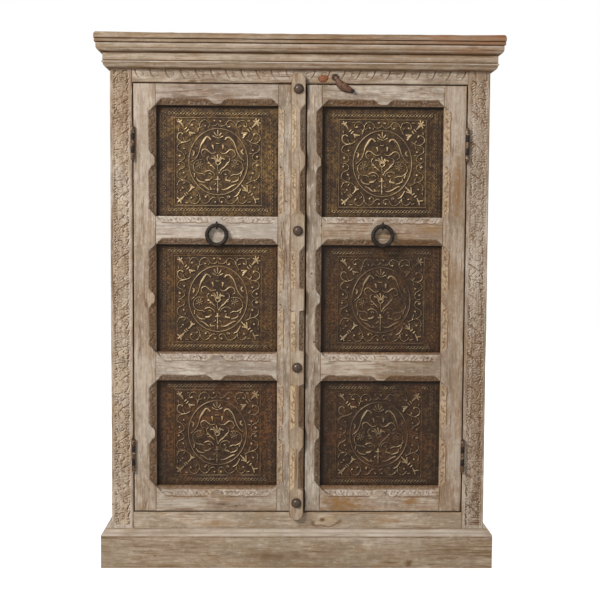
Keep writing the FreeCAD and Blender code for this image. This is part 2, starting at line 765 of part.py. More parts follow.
# the eye's seam lies on its far side, clear of the tongue
eye = hoop("+y", ("0", "0", "0"), "hasp_eye_radius", "hasp_eye_wire")
eye.Placement.Rotation = FreeCAD.Rotation(AXES["-x"], AXES["+z"], AXES["+y"], "XYZ")
tongue = joined([
    cone("+x", ("hasp_eye_radius", "0", "0"), "hasp_neck_radius", "hasp_belly_radius",
         "hasp_belly - hasp_eye_radius"),
    cone("+x", ("hasp_belly", "0", "0"), "hasp_belly_radius", "hasp_tip_radius", "hasp_length - hasp_belly"),
    ball,
    eye,
])
hasp = cut(tongue, [
    block(("-hasp_length", "2 * hasp_length"), ("hasp_eye_wire", "2 * hasp_belly_radius"), wide),
    rod("+y", ("hasp_length", "-2 * hasp_belly_radius", "0"), "nail_radius + nail_clearance",
        "4 * hasp_belly_radius"),
    rod("-y", ("hasp_length", "-hasp_seat", "0"), "hasp_seat_radius", "2 * hasp_belly_radius"),
])
hasp.Placement.Rotation = FreeCAD.Rotation(AXES["+y"], 0)
bind(hasp, {}, (
    "hasp_pivot_x - hasp_length * cos(hasp_angle)", "hasp_y",
    "hasp_pivot_z + hasp_length * sin(hasp_angle)"))
hasp.setExpression("Placement.Rotation.Angle", formula("hasp_angle"))
piece("latch_hasp", hasp)
nail_back = "hasp_y - hasp_seat - hasp_clearance"
piece("latch_nail", joined([
    rod("+y", ("hasp_pivot_x", nail_back, "hasp_pivot_z"), "nail_radius",
        f"door_face + nail_depth - ({nail_back})"),
    rod("-y", ("hasp_pivot_x", nail_back, "hasp_pivot_z"), "nail_head_radius", "nail_head_height"),
]))

doc.recompute()
for item in doc.Objects:
    if "Invalid" in item.State or "Error" in item.State:
        raise RuntimeError(f"{item.Label} did not compute")
for item in pieces:
    if item.Shape.isNull() or not item.Shape.isValid():
        raise RuntimeError(f"{item.Label} has no valid shape")

os.makedirs("parts", exist_ok=True)
for item in pieces:
    item.Shape.exportStep(f"parts/{item.Label}.step")
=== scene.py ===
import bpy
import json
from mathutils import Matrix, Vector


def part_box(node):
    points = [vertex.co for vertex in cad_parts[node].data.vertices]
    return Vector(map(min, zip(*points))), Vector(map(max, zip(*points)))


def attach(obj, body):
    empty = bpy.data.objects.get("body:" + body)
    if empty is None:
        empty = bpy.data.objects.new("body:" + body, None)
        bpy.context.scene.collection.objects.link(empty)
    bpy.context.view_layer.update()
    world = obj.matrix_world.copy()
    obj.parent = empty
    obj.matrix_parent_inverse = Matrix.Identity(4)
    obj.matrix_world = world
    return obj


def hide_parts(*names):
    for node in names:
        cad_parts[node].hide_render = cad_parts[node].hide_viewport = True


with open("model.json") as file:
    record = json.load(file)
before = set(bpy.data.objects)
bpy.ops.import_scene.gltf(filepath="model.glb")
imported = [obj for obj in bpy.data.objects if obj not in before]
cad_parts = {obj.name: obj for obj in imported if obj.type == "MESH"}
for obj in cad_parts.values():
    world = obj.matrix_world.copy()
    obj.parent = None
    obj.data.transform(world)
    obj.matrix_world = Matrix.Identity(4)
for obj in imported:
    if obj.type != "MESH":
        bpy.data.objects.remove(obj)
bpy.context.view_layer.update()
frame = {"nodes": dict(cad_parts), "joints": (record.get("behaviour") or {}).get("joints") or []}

import functools
import json
import math

import bmesh
import bpy
import numpy as np
from mathutils import Matrix, Vector

# The room: a pale floor, a large soft lamp at the upper left in front, a weaker one behind, an even surround.
# The camera stands nearly square to the doors, a little to their left and above their middle.
scene = bpy.context.scene
scene.view_settings.view_transform = "Standard"


def linear(colour):
    """An sRGB hex colour as linear light."""
    parts = [int(colour[i:i + 2], 16) / 255 for i in (0, 2, 4)]
    return [p / 12.92 if p <= 0.04045 else ((p + 0.055) / 1.055) ** 2.4 for p in parts] + [1.0]


def add(tree, kind, inputs={}, stops=(), **settings):
    """Adds a shader node with its settings, and sets or links its inputs; stops are a ramp's colours.
    A node as an input is linked by its result, which is the third output of a colour mix."""
    node = tree.nodes.new("ShaderNode" + kind)
    for name, value in settings.items():
        setattr(node, name, value)
    for name, value in inputs.items():
        if isinstance(value, bpy.types.Node):
            value = value.outputs[2 if value.bl_idname == "ShaderNodeMix" else 0]
        if isinstance(value, bpy.types.NodeSocket):
            tree.links.new(value, node.inputs[name])
        else:
            node.inputs[name].default_value = value
    if stops:
        ramp = node.color_ramp.elements
        ramp[0].position, ramp[0].color = stops[0][0], linear(stops[0][1])
        ramp[1].position, ramp[1].color = stops[-1][0], linear(stops[-1][1])
        for place, colour in stops[1:-1]:
            ramp.new(place).color = linear(colour)
    return node


def empty_tree(owner):
    """The cleared node tree of a new material or world."""
    owner.use_nodes = True
    owner.node_tree.nodes.clear()
    return owner.node_tree


def placed(name, data):
    """A new object in the scene."""
    thing = bpy.data.objects.new(name, data)
    scene.collection.objects.link(thing)
    return thing


camera = placed("camera", bpy.data.cameras.new("camera"))
camera.location = (-0.0493, -2.8046, 0.7990)
camera.rotation_euler = [math.radians(a) for a in (86.2989, -0.3512, -1.0886)]
camera.data.sensor_width = 36
camera.data.lens = 67.8
scene.camera = camera

for name, size, energy, colour, spot, target in (
        ("window_lamp", 1.5, 214, "FFFBF5", (-2.6, -3.2, 3.3), (0, -0.2, 0.62)),
        ("back_lamp", 2.5, 110, "FFFFFF", (2.9, 3.4, 2.4), (0, 0.2, 0.6))):
    lamp = placed(name, bpy.data.lights.new(name, "AREA"))
    lamp.data.shape = "DISK"
    lamp.data.size = size
    lamp.data.energy = energy
    lamp.data.color = linear(colour)[:3]
    lamp.location = spot
    lamp.rotation_euler = (Vector(target) - lamp.location).to_track_quat("-Z", "Y").to_euler()

# the surround is white to look at, in mirrors and through glass, and dim as a light
surround = bpy.data.worlds.new("surround")
tree = empty_tree(surround)
rays = add(tree, "LightPath").outputs
seen = rays["Is Camera Ray"]
for kind in ("Is Glossy Ray", "Is Transmission Ray"):
    seen = add(tree, "Math", {0: seen, 1: rays[kind]}, operation="MAXIMUM").outputs[0]
level = add(tree, "MapRange", {"Value": seen, "To Min": 0.26, "To Max": 1.0})
sky = add(tree, "Background", {"Color": linear("FFFFFF"), "Strength": level})
add(tree, "OutputWorld", {"Surface": sky})
scene.world = surround

bm = bmesh.new()
bmesh.ops.create_grid(bm, x_segments=8, y_segments=8, size=6.0)
floor_mesh = bpy.data.meshes.new("floor")
bm.to_mesh(floor_mesh)
bm.free()
floor_mesh.transform(Matrix.Translation((0, 0, -0.0005)))
floor = placed("floor", floor_mesh)
paper = bpy.data.materials.new("matt_white_paper_floor")
tree = empty_tree(paper)
glow = add(tree, "Math", {0: add(tree, "LightPath").outputs["Is Camera Ray"], 1: 0.8}, operation="MULTIPLY")
sheet = add(tree, "BsdfPrincipled", {"Base Color": linear("EDEBE8"), "Roughness": 0.9,
            "Emission Color": linear("FFFFFF"), "Emission Strength": glow})
add(tree, "OutputMaterial", {"Surface": sheet})
floor_mesh.materials.append(paper)

# The front posts: two hardwood uprights, cut down their faces with a shallow trailing vine of curls and
# nicks between plain edges, then limewashed and rubbed back, so that the cuts keep the brown; the cuts'
# darkness is partly painted shade, and the wall beside each cut that faces the lamp has a painted highlight.
MM = 0.001


def begun(name):
    """A new material, its empty node tree, and places on the object for its patterns."""
    material = bpy.data.materials.new(name)
    tree = empty_tree(material)
    return material, tree, add(tree, "TexCoord").outputs["Object"]


def coat(tree, skin, layers, height, strength, deep, inputs):
    """Ends a material: lays the colours over the skin by their shares, with a pattern of heights as bump."""
    for share, colour in layers:
        over = linear(colour) if isinstance(colour, str) else colour
        skin = add(tree, "Mix", {0: share, 6: skin, 7: over}, data_type="RGBA")
    bump = add(tree, "Bump", {"Height": height, "Strength": strength, "Distance": deep})
    shell = add(tree, "BsdfPrincipled", {"Base Color": skin, "Normal": bump, **inputs})
    add(tree, "OutputMaterial", {"Surface": shell})


def limewash(name, grain, seed, bare=0.0, tint=0.0, hue="8C6B4A", planks=None, spill="8A6129"):
    """Old hardwood, limewashed and rubbed back by hand: chalky and matt, mottled in grey, mauve and cream,
    brown along some fibres, with fine cracks and nail holes. grain is the axis of the board's length, bare
    how much more of the wash is rubbed off, tint and hue a colour over it all and spill that of its stains.
    planks is the axis across several boards, where the first starts, how wide each is and how many."""
    material, tree, place = begun(name)
    # the place in mm, drawn out along the grain by these factors
    spaces = {}
    for stretch in (1, 1.9, 5.5, 30):
        size = [1000.0] * 3
        size[grain] = 1000 / stretch
        spaces[stretch] = add(tree, "Mapping", {"Vector": place, "Scale": size,
                              "Location": (seed * 137.0, seed * 71.0, seed * 191.0)})
    # stretch, width in mm, detail, roughness and distortion of streaks, rubbed patches, tints, chalk, broad
    # tones, fibres, cracks, ashy streaks and short dashes; the fibres are coarser than the wood's, to show
    noise = {}
    for label, stretch, width, detail, rough, warp in (
            ("streak", 5.5, 8, 6.0, 0.68, 0.6), ("patch", 1.9, 38, 6.0, 0.66, 0.5),
            ("cast", 1.9, 64, 4.0, 0.6, 0.0), ("chalk", 1, 13, 6.0, 0.7, 0.0),
            ("tone", 1.9, 110, 3.0, 0.6, 0.0), ("fibre", 30, 2.4, 2.0, 0.5, 0.0),
            ("split", 30, 14, 2.0, 0.4, 0.0), ("ash", 5.5, 19, 5.0, 0.66, 0.0),
            ("dash", 5.5, 4.5, 3.0, 0.55, 0.0)):
        noise[label] = add(tree, "TexNoise", {"Vector": spaces[stretch], "Scale": 1 / width, "Detail": detail,
                           "Roughness": rough, "Distortion": warp})
    hole = add(tree, "TexVoronoi", {"Vector": spaces[1], "Scale": 1 / 46})
    mark = {label: add(tree, "Attribute", attribute_name=label).outputs["Fac"]
            for label in ("wear", "gold", "lime_and_highlight", "dirt_and_shade", "smoke_and_shadow", "rust")}
    worn_off = add(tree, "Math", {0: mark["wear"], 1: 0.20, 2: noise["patch"]}, operation="MULTIPLY_ADD")
    worn_off = add(tree, "Math", {0: noise["streak"], 1: -0.25, 2: worn_off}, operation="MULTIPLY_ADD")
    line = add(tree, "Math", {0: noise["split"], 1: 0.5}, operation="SUBTRACT")
    line = add(tree, "Math", {0: line}, operation="ABSOLUTE")
    # how much of each colour shows: none where its pattern reaches the first value, the most at the second
    share = {}
    for label, source, none, full, most in (
            ("pale", noise["chalk"], 0.53, 0.66, 0.6), ("dull", noise["chalk"], 0.47, 0.33, 0.6),
            ("dusk", noise["tone"], 0.50, 0.34, 0.6), ("dawn", noise["tone"], 0.50, 0.64, 0.6),
            ("grey", noise["ash"], 0.55, 0.68, 0.55), ("rubbed", worn_off, 0.40 - bare, 0.60 - bare, 0.6),
            ("fine", noise["fibre"], 0.50, 0.34, 0.4), ("dark", noise["dash"], 0.60, 0.66, 0.42),
            ("light", noise["dash"], 0.40, 0.34, 0.42), ("line", line, 0.018, 0.005, 0.85),
            ("some", noise["cast"], 0.48, 0.58, 1.0), ("nail", hole, 0.07, 0.04, 0.8)):
        share[label] = add(tree, "MapRange", {"Value": source, "From Min": none, "From Max": full,
                           "To Max": most})
    grey = add(tree, "Math", {0: share["grey"], 1: mark["smoke_and_shadow"]}, operation="MAXIMUM")
    crack = add(tree, "Math", {0: share["line"], 1: share["some"]}, operation="MULTIPLY")
    base = add(tree, "ValToRGB", {0: noise["cast"]}, stops=((0.36, "8F897E"), (0.45, "AA9D8E"),
               (0.52, "B5A798"), (0.59, "AD978A"), (0.68, "B39C7D")))
    veil = add(tree, "ValToRGB", {0: noise["streak"]}, stops=((0.28, "594939"), (0.42, "938372"),
               (0.56, "B5A899"), (0.74, "E0D9D0")))
    wood = add(tree, "ValToRGB", {0: noise["fibre"]}, stops=((0.32, "66503C"), (0.5, "8A6E53"),
               (0.7, "A68A69")))
    # the pale, dark and ashy marks also carry painted highlights, painted shade and a painted shadow
    layers = [(0.58, veil), (share["pale"], "CBC4BA"), (share["dull"], "76685A"), (share["dusk"], "79695A"),
              (share["dawn"], "CBC3B8"), (grey, "5E544B"), (share["rubbed"], wood), (share["fine"], "77644F"),
              (share["dark"], "6A5644"), (share["light"], "D2C9BC"), (crack, "5C4632"),
              (share["nail"], "4A3626"), (tint, hue), (mark["rust"], spill), (mark["gold"], "C4AD8B"),
              (mark["lime_and_highlight"], "CFC5BB"), (mark["dirt_and_shade"], "66482C")]
    if planks:
        # each plank is a little darker or lighter, and the joints are dark with dust, 3 mm wide to show
        axis, start, pitch, count = planks
        reach = add(tree, "SeparateXYZ", {0: place}).outputs[axis]
        reach = add(tree, "Math", {0: reach, 1: 1000.0, 2: -start}, operation="MULTIPLY_ADD")
        joint = add(tree, "Clamp", {"Value": reach, "Min": pitch / 2, "Max": pitch * (count - 0.5)})
        joint = add(tree, "Math", {0: joint, 1: pitch / 2}, operation="PINGPONG")
        joint = add(tree, "MapRange", {"Value": joint, "From Min": 2.0, "From Max": 0.9, "To Max": 0.85})
        plank = add(tree, "Math", {0: reach, 1: pitch}, operation="DIVIDE")
        plank = add(tree, "Math", {0: plank}, operation="FLOOR")
        plank = add(tree, "TexWhiteNoise", {"W": plank}, noise_dimensions="1D").outputs["Value"]
        plank = add(tree, "Math", {0: plank, 1: 0.35}, operation="MULTIPLY")
        layers += [(plank, "6E5A46"), (joint, "3A2B1F")]
    height = add(tree, "Math", {0: crack, 1: -2.0, 2: noise["fibre"]}, operation="MULTIPLY_ADD")
    height = add(tree, "Math", {0: noise["chalk"], 1: 1.5, 2: height}, operation="MULTIPLY_ADD")
    coat(tree, base, layers, height, 0.35, 0.0006, {"Roughness": 0.82, "Specular IOR Level": 0.25})
    return material


def ruled(low, high, fine, coarse=None, zones=()):
    """Places along a board's side in mm: close together in the carved zones and at both arrises, and fine
    all along without a coarse step."""
    places, at = [low, low + 0.7, low + 1.6], low + 2.8
    while at < high - 2.8:
        places.append(at)
        at += fine if coarse is None or any(a <= at < b for a, b in zones) else coarse
    return np.array(places + [high - 2.8, high - 1.6, high - 0.7, high])


def held(values):
    """Values held between 0 and 1."""
    return np.clip(values, 0, 1)


CELLS = 128


@functools.lru_cache(maxsize=None)
def humps(seed):
    """A grid of heights from -1 to 1, the same each time for one seed."""
    return np.random.default_rng(seed).uniform(-1, 1, (CELLS, CELLS))


def uneven(a, b, size, seed):
    """Smooth hand-made unevenness from -1 to 1, with humps of the given size in mm."""
    grid = humps(seed)
    a, b = np.broadcast_arrays(a / size, b / size)
    i, j = np.floor(a).astype(int), np.floor(b).astype(int)
    u, v = a - i, b - j
    u, v = u * u * (3 - 2 * u), v * v * (3 - 2 * v)
    i, j, k, l = i % CELLS, j % CELLS, (i + 1) % CELLS, (j + 1) % CELLS
    return (grid[i, j] * (1 - u) + grid[k, j] * u) * (1 - v) + (grid[i, l] * (1 - u) + grid[k, l] * u) * v


def arris(x, z, left, right, low, high, seed):
    """How far a board's worn edges fall away, in mm, and how much of the wash is rubbed off there."""
    edge = np.minimum(np.minimum(x - left, right - x), np.minimum(z - low, high - z))
    reach = 2.2 + 1.1 * uneven(x, z, 23, seed)
    inside = np.clip(reach - edge, 0, None)
    fall = reach - np.sqrt(np.clip(reach ** 2 - inside ** 2, 0, None))
    return fall, held(1.3 - edge / (reach * 2.6))


def smooth_line(points, steps):
    """A smooth hand-drawn line through the given points."""
    p = np.array(points, float)
    p = np.vstack([2 * p[0] - p[1], p, 2 * p[-1] - p[-2]])
    t = np.linspace(0, 1, steps, endpoint=False)[:, None]
    runs = [0.5 * (2 * b + (c - a) * t + (2 * a - 5 * b + 4 * c - d) * t ** 2
                   + (3 * b - a - 3 * c + d) * t ** 3) for a, b, c, d in zip(p, p[1:], p[2:], p[3:])]
    return np.vstack(runs + [p[-2:-1]])


def work(field, x, z, line, start, end, lift=1.0):
    """Works a rounded bead along a line into a field of heights, its half width going from start to end."""
    wide = np.linspace(start, end, len(line))
    for a, b, ra, rb in zip(line, line[1:], wide, wide[1:]):
        r = max(ra, rb)
        c0, c1 = np.searchsorted(x, (min(a[0], b[0]) - r, max(a[0], b[0]) + r))
        r0, r1 = np.searchsorted(z, (min(a[1], b[1]) - r, max(a[1], b[1]) + r))
        if c0 == c1 or r0 == r1:
            continue
        dx, dz = x[None, c0:c1] - a[0], z[r0:r1, None] - a[1]
        run = b - a
        t = held((dx * run[0] + dz * run[1]) / max(run @ run, 1e-9))
        off = ((dx - t * run[0]) ** 2 + (dz - t * run[1]) ** 2) / (ra + (rb - ra) * t) ** 2
        field[r0:r1, c0:c1] = np.maximum(field[r0:r1, c0:c1], lift * np.sqrt(held(1 - off)))


def piece_of(name, bm, material, angle):
    """Ends a piece: closed, normals out, smooth but for edges sharper than the angle, and in the scene."""
    bmesh.ops.holes_fill(bm, edges=[e for e in bm.edges if e.is_boundary], sides=0)
    bmesh.ops.recalc_face_normals(bm, faces=bm.faces)
    for face in bm.faces:
        face.smooth = True
    mesh = bpy.data.meshes.new(name)
    bm.to_mesh(mesh)
    bm.free()
    mesh.set_sharp_from_angle(angle=math.radians(angle))
    mesh.materials.append(material)
    return placed(name, mesh)


def relief(name, x, y, z, back, marks, material):
    """A board whose front is a fine grid at the given places in mm, with straight sides to a flat back."""
    rows, columns = y.shape
    x, z = np.broadcast_to(x, y.shape), np.broadcast_to(z, y.shape)
    bm = bmesh.new()
    bmesh.ops.create_grid(bm, x_segments=columns - 1, y_segments=rows - 1, size=0.5)
    grid = bpy.data.meshes.new("grid")
    bm.to_mesh(grid)
    bm.free()
    flat = np.empty(len(grid.vertices) * 3, np.float32)
    grid.vertices.foreach_get("co", flat)
    column = np.rint((flat[0::3] + 0.5) * (columns - 1)).astype(int)
    row = np.rint((flat[1::3] + 0.5) * (rows - 1)).astype(int)
    spots = np.column_stack([x[row, column], y[row, column], z[row, column]]) * MM
    grid.vertices.foreach_set("co", spots.ravel())
    for label, values in marks.items():
        values = np.broadcast_to(values, y.shape)[row, column].astype(np.float32)
        grid.attributes.new(label, "FLOAT", "POINT").data.foreach_set("value", values)
    bm = bmesh.new()
    bm.from_mesh(grid)
    bpy.data.meshes.remove(grid)
    made = bmesh.ops.extrude_edge_only(bm, edges=[e for e in bm.edges if e.is_boundary])["geom"]
    for vertex in made:
        if isinstance(vertex, bmesh.types.BMVert):
            vertex.co.y = back * MM
    return piece_of(name, bm, material, 50)


def set_in(piece, body, slot, *nodes):
    """Fixes a finished piece to the body that carries it, in place of the CAD nodes that it stands for."""
    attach(piece, body)
    if nodes:
        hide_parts(*nodes)


def sides(node):
    """A CAD node's box in mm: left, right, front, back, low, high."""
    low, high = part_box(node)
    return [v * 1000 for pair in zip(low, high) for v in pair]


# one repeat of the vine on the left post, in mm from the post's middle line and the repeat's top: half widths
# at the start and end of a cut, its strength and its points
repeat, first_top = 70.5, 1157
carved_from, carved_to = 98, 1156
vine = (
    (0.8, 1.6, 1.0, ((-3, -80), (3, -76), (9, -72), (16, -68), (19, -64))),
    (1.8, 1.3, 0.9, ((5, -5), (9, -2), (14, -1))), (1.7, 0.8, 1.0, ((13, -32), (15, -26), (18, -21))),
    (1.7, 0.8, 1.0, ((13, -47), (15, -41), (17, -35))),
    (1.4, 0.7, 1.0, ((-15, -42), (-9, -43), (-3, -41), (3, -42))),
    (1.5, 0.7, 0.9, ((3, -56), (6, -52), (10, -53))), (1.2, 0.6, 0.8, ((-4, -60), (0, -59), (4, -56))),
    (0.8, 0.8, 0.7, ((-7, -29), (-1, -29), (5, -28))), (0.9, 0.7, 0.7, ((3, -12), (5, -17), (10, -19))),
    (0.7, 0.9, 0.8, ((-2, -11), (-8, -14), (-10, -20), (-7, -27))),
    (1.9, 1.2, 0.9, ((-14, -26), (-11, -19))), (1.5, 0.9, 0.9, ((-12, -55), (-9, -62))),
    (0.5, 0.5, 0.5, ((-13, -33), (9, -32))), (0.5, 0.5, 0.5, ((-13, -37), (8, -36))),
    (0.9, 1.4, 0.8, ((11, -10), (15, -12), (16, -16))),
    (0.7, 0.7, 0.6, ((-9, -47), (-6, -52), (0, -52), (1, -48), (-3, -46))),
    (1.2, 0.7, 0.7, ((12, -58), (16, -55))), (0.9, 0.6, 0.7, ((-15, -8), (-11, -3), (-4, -3))),
    (1.3, 0.8, 0.8, ((-16, -66), (-12, -70))),
)
for hand, seed in (("left", 11), ("right", 12)):
    left, right, front, back, low, high = sides(hand + "_front_post")
    x, z = ruled(left, right, 0.9), ruled(low, high, 1.0, 9.0, ((92, 1160),))
    on_left = hand == "left"
    middle, way = (left + right) / 2, 1 if on_left else -1
    chance = np.random.default_rng(seed)
    cuts, pearls = np.zeros((2, len(z), len(x)))
    fat, bits, lag = (1.15, 30, 0) if on_left else (1.3, 26, 22)
    for step in range(16):
        top = first_top - step * repeat - lag
        for start, end, lift, points in vine:
            if chance.uniform() < 0.15:
                continue
            slip, bend = chance.uniform(-1.4, 1.4, 2), chance.uniform(-0.9, 0.9, (len(points), 2))
            line = [(middle + way * (px + slip[0] + b[0]), top + pz + slip[1] + b[1])
                    for (px, pz), b in zip(points, bend)]
            work(cuts, x, z, smooth_line(line, 4), fat * start, fat * end, lift * chance.uniform(0.75, 1.1))
        for _ in range(bits):
            at = np.array([middle + chance.uniform(-18, 19), top - chance.uniform(0, repeat)])
            a, r = chance.uniform(-0.9, 0.9), chance.uniform(1.3, 3.6)
            run = r * np.array([[0, 0], [math.cos(a), math.sin(a) + 0.3],
                                [1.7 * math.cos(a), 2 * math.sin(a)]])
            work(cuts, x, z, smooth_line(at + run * (way, 1), 3), 1.1, 0.7, chance.uniform(0.5, 1.0))
        # a row of small nicks and pearls down each border
        for tick in range(11):
            for side, lean in ((-15.5, 1.2), (15.5, -1.2)):
                at = np.array([middle + way * side + chance.uniform(-1, 1), top - tick * repeat / 11])
                nick = at + np.array([[0, 0], [way * lean, 1.5], [way * lean * 2.2, 2.2]])
                work(cuts, x, z, smooth_line(nick, 3), 1.3, 0.8, chance.uniform(0.5, 1.0))
                pearl = at + np.array([[-way * 1.2, -1.4], [way * 0.8, -0.4]])
                work(pearls, x, z, pearl, 1.4, 1.1, chance.uniform(0.3, 1.0))
    x2, z2 = x[None, :], z[:, None]
    inner, outer = (right - x2, x2 - left) if on_left else (x2 - left, right - x2)
    field = held((inner - 6) / 2) * held((outer - 4) / 2)
    field = field * held((z2 - carved_from) / 3) * held((carved_to - z2) / 3)
    cuts = cuts * field * (0.8 + 0.3 * uneven(x2, z2, 30, seed + 1))
    pearls = pearls * field * (1 - cuts)
    fall, rub = arris(x2, z2, left, right, low, high, seed)
    swell = 0.7 * uneven(x2, z2, 6, seed + 3) + 0.4 * uneven(x2, z2, 3, seed + 4)
    high_up = held((z2 - 900) / 200)
    stain = np.clip(uneven(x2, z2, 40, seed + 5) * 0.9 + 0.5 * high_up - 0.2, 0, 0.7) * field
    # a painted highlight on the lower right wall of each cut, which faces the lamp at the upper left
    lit = held(np.roll(cuts, (-1, 2), (0, 1)) - cuts)
    down = 1.9 * cuts - 0.6 * pearls + 0.5 + 0.5 * swell
    if on_left:
        brown = 0.5 * held(0.25 + swell) + 0.35 * stain
        gold = 0.4 * field * (0.5 + 0.5 * uneven(x2, z2, 22, seed + 7)) * (1 - cuts)
        fade = 1.0
    else:
        # the right post is browner, most of all along its outer border, which is partly painted shade, and
        # low down
        brown = np.clip(0.32 + 0.02 * (14 - outer) + 0.5 * (600 - z2) / 600, 0.02, 0.75)
        brown = brown * (0.8 + 0.8 * swell) + 0.3 * stain
        gold = 0.3 * np.maximum(lit, pearls)
        fade = 1 - 0.7 * held((520 - z2) / 300)
    # the cuts are painted dark, partly as brown and partly as their shade, and the highlighted walls stay
    # clean
    dirt_and_shade = (0.92 * cuts + field * np.clip(brown, 0, 0.7)) * (1 - pearls) * (1 - 0.8 * lit)
    y = front + fall + field * down + 0.25 * uneven(x2, z2, 60, seed + 2)
    marks = {"dirt_and_shade": np.clip(dirt_and_shade, 0, 0.95), "wear": held(0.6 * rub + 0.5 * stain),
             "gold": held(gold), "lime_and_highlight": np.clip(0.5 * pearls + 0.75 * lit, 0, 0.9) * fade}
    post = relief(hand + "_post_carved", x, y, z2, back, marks,
                  limewash("limewashed_carved_post_" + hand, 2, seed, 0.0, 0.15))
    set_in(post, "carcass", "limewashed_wood", hand + "_front_post")


# The rear posts, sides, back and the shelves inside: plain sawn planks of the same wood. The outside
# is limewashed like the front, and the inside was left bare and has only gone brown with age.
def plain_edges(node, width):
    """Takes the sharp machine edge off a CAD piece."""
    piece = frame["nodes"][node]
    weld = piece.modifiers.new("weld", "WELD")
    weld.merge_threshold = 0.00001
    soft = piece.modifiers.new("eased_edges", "BEVEL")
    soft.width = width * MM
    soft.segments = 2
    soft.limit_method = "ANGLE"
    soft.angle_limit = math.radians(40)
    soft.harden_normals = False
    return piece


def finish_with(piece, material):
    """Gives a CAD piece one material all over."""
    piece.data.materials.clear()
    piece.data.materials.append(material)


def bare_wood(name, grain, seed):
    """Unfinished old hardwood gone brown with age: matt, with darker growth bands and dusty fibres."""
    material, tree, place = begun(name)
    long = [1000.0] * 3
    long[grain] = 1000 / 20
    along = add(tree, "Mapping", {"Vector": place, "Location": (seed * 53.0, seed * 97.0, seed * 31.0),
                "Scale": long})
    # growth bands 11 mm wide and fibres 2.2 mm wide, the fibres drawn coarse enough to show
    band = add(tree, "TexNoise", {"Vector": along, "Scale": 1 / 11, "Detail": 4.0, "Distortion": 0.6})
    fibre = add(tree, "TexNoise", {"Vector": along, "Scale": 1 / 2.2, "Detail": 2.0})
    skin = add(tree, "ValToRGB", {0: band}, stops=((0.32, "5B4330"), (0.5, "7B5F46"), (0.68, "94775B")))
    dust = add(tree, "MapRange", {"Value": fibre, "From Min": 0.5, "From Max": 0.7, "To Max": 0.35})
    coat(tree, skin, [(dust, "A8927A")], fibre, 0.3, 0.0006, {"Roughness": 0.85, "Specular IOR Level": 0.25})
    return material


for node, grain, seed, across, count in (
        ("left_rear_post", 2, 21, 0, 1), ("right_rear_post", 2, 22, 0, 1), ("left_side_boards", 2, 23, 1, 3),
        ("right_side_boards", 2, 24, 1, 3), ("back_boards", 2, 25, 0, 5), ("top_boards", 0, 26, 1, 3)):
    start, end = sides(node)[2 * across:2 * across + 2]
    planks = (across, start, (end - start) / count, count) if count > 1 else None
    wash = limewash("limewashed_plank_" + node, grain, seed, 0.03, planks=planks)
    finish_with(plain_edges(node, 1.2), wash)
for node, grain, seed in (("bottom_board", 0, 31), ("lower_shelf", 0, 32), ("upper_shelf", 0, 33),
                          ("shelf_cleats", 1, 34)):
    finish_with(plain_edges(node, 1.0), bare_wood("bare_aged_hardwood_" + node, grain, seed))

# The head rail over the doors: a hardwood board cut with a row of slanting leaf nicks above a plain
# lower edge, the nicks leaning outwards from the middle on both sides.
front, back, low, high = sides("head_rail")[2:]
left, right = sides("left_front_post")[1], sides("right_front_post")[0]
x = ruled(left, right, 1.4)
z = ruled(low, high, 1.1, 6.0, ((low, 1160),))
x2, z2 = x[None, :], z[:, None]
cuts = np.zeros((len(z), len(x)))
first_nick, nick_pitch = 32, 34.6
for step in range(22):
    way = -1 if step < 11 else 1
    at = way * (first_nick + (step % 11) * nick_pitch)
    nick = [(at + way * 1, 1157), (at - way * 0.5, 1150), (at - way * 4, 1143), (at - way * 9, 1137)]
    leaf = [(at - way * 15, 1151), (at - way * 19, 1147), (at - way * 17, 1142), (at - way * 13, 1144)]
    vein = [(at - way * 6, 1154), (at - way * 11, 1152), (at - way * 22, 1154)]
    work(cuts, x, z, smooth_line(nick, 5), 1.9, 0.6)
    work(cuts, x, z, smooth_line(leaf, 5), 1.2, 0.7, 0.75)
    work(cuts, x, z, smooth_line(vein, 4), 0.9, 0.6, 0.5)
fall, rub = arris(x2, z2, left, right, low, high, 41)
y = front + fall * held((1156 - z2) / 6) + 1.9 * cuts + 0.25 * uneven(x2, z2, 70, 42)
# a painted shade along the rail's top edge, under the cornice
under = held((z2 - 1153) / 4) * 0.45
rust_run = 1.2 - np.hypot((x2 - 62) / 34, (z2 - 1137) / 11) + 0.5 * uneven(x2, z2, 8, 43)
marks = {"dirt_and_shade": held(np.maximum(cuts * 0.8, under)), "wear": 0.6 * rub,
         "rust": 0.5 * held(rust_run)}
rail = relief("head_rail_carved", x, y, z2, back, marks,
              limewash("limewashed_carved_head_rail", 0, 41, 0.0, 0.14))
set_in(rail, "carcass", "limewashed_wood", "head_rail")

# The sill rail under the doors: a plain hardwood board between the posts, its top edge worn.
# It has one knot, a smoky patch beside it and two brown blots.
front, back, low, high = sides("sill_rail")[2:]
x, z = ruled(left, right, 1.5, 4.0, ((20, 90),)), ruled(low, high, 1.2)
x2, z2 = x[None, :], z[:, None]
fall, rub = arris(x2, z2, left, right, low, high, 45)
y = front + fall + 0.35 * uneven(x2, z2, 50, 46)
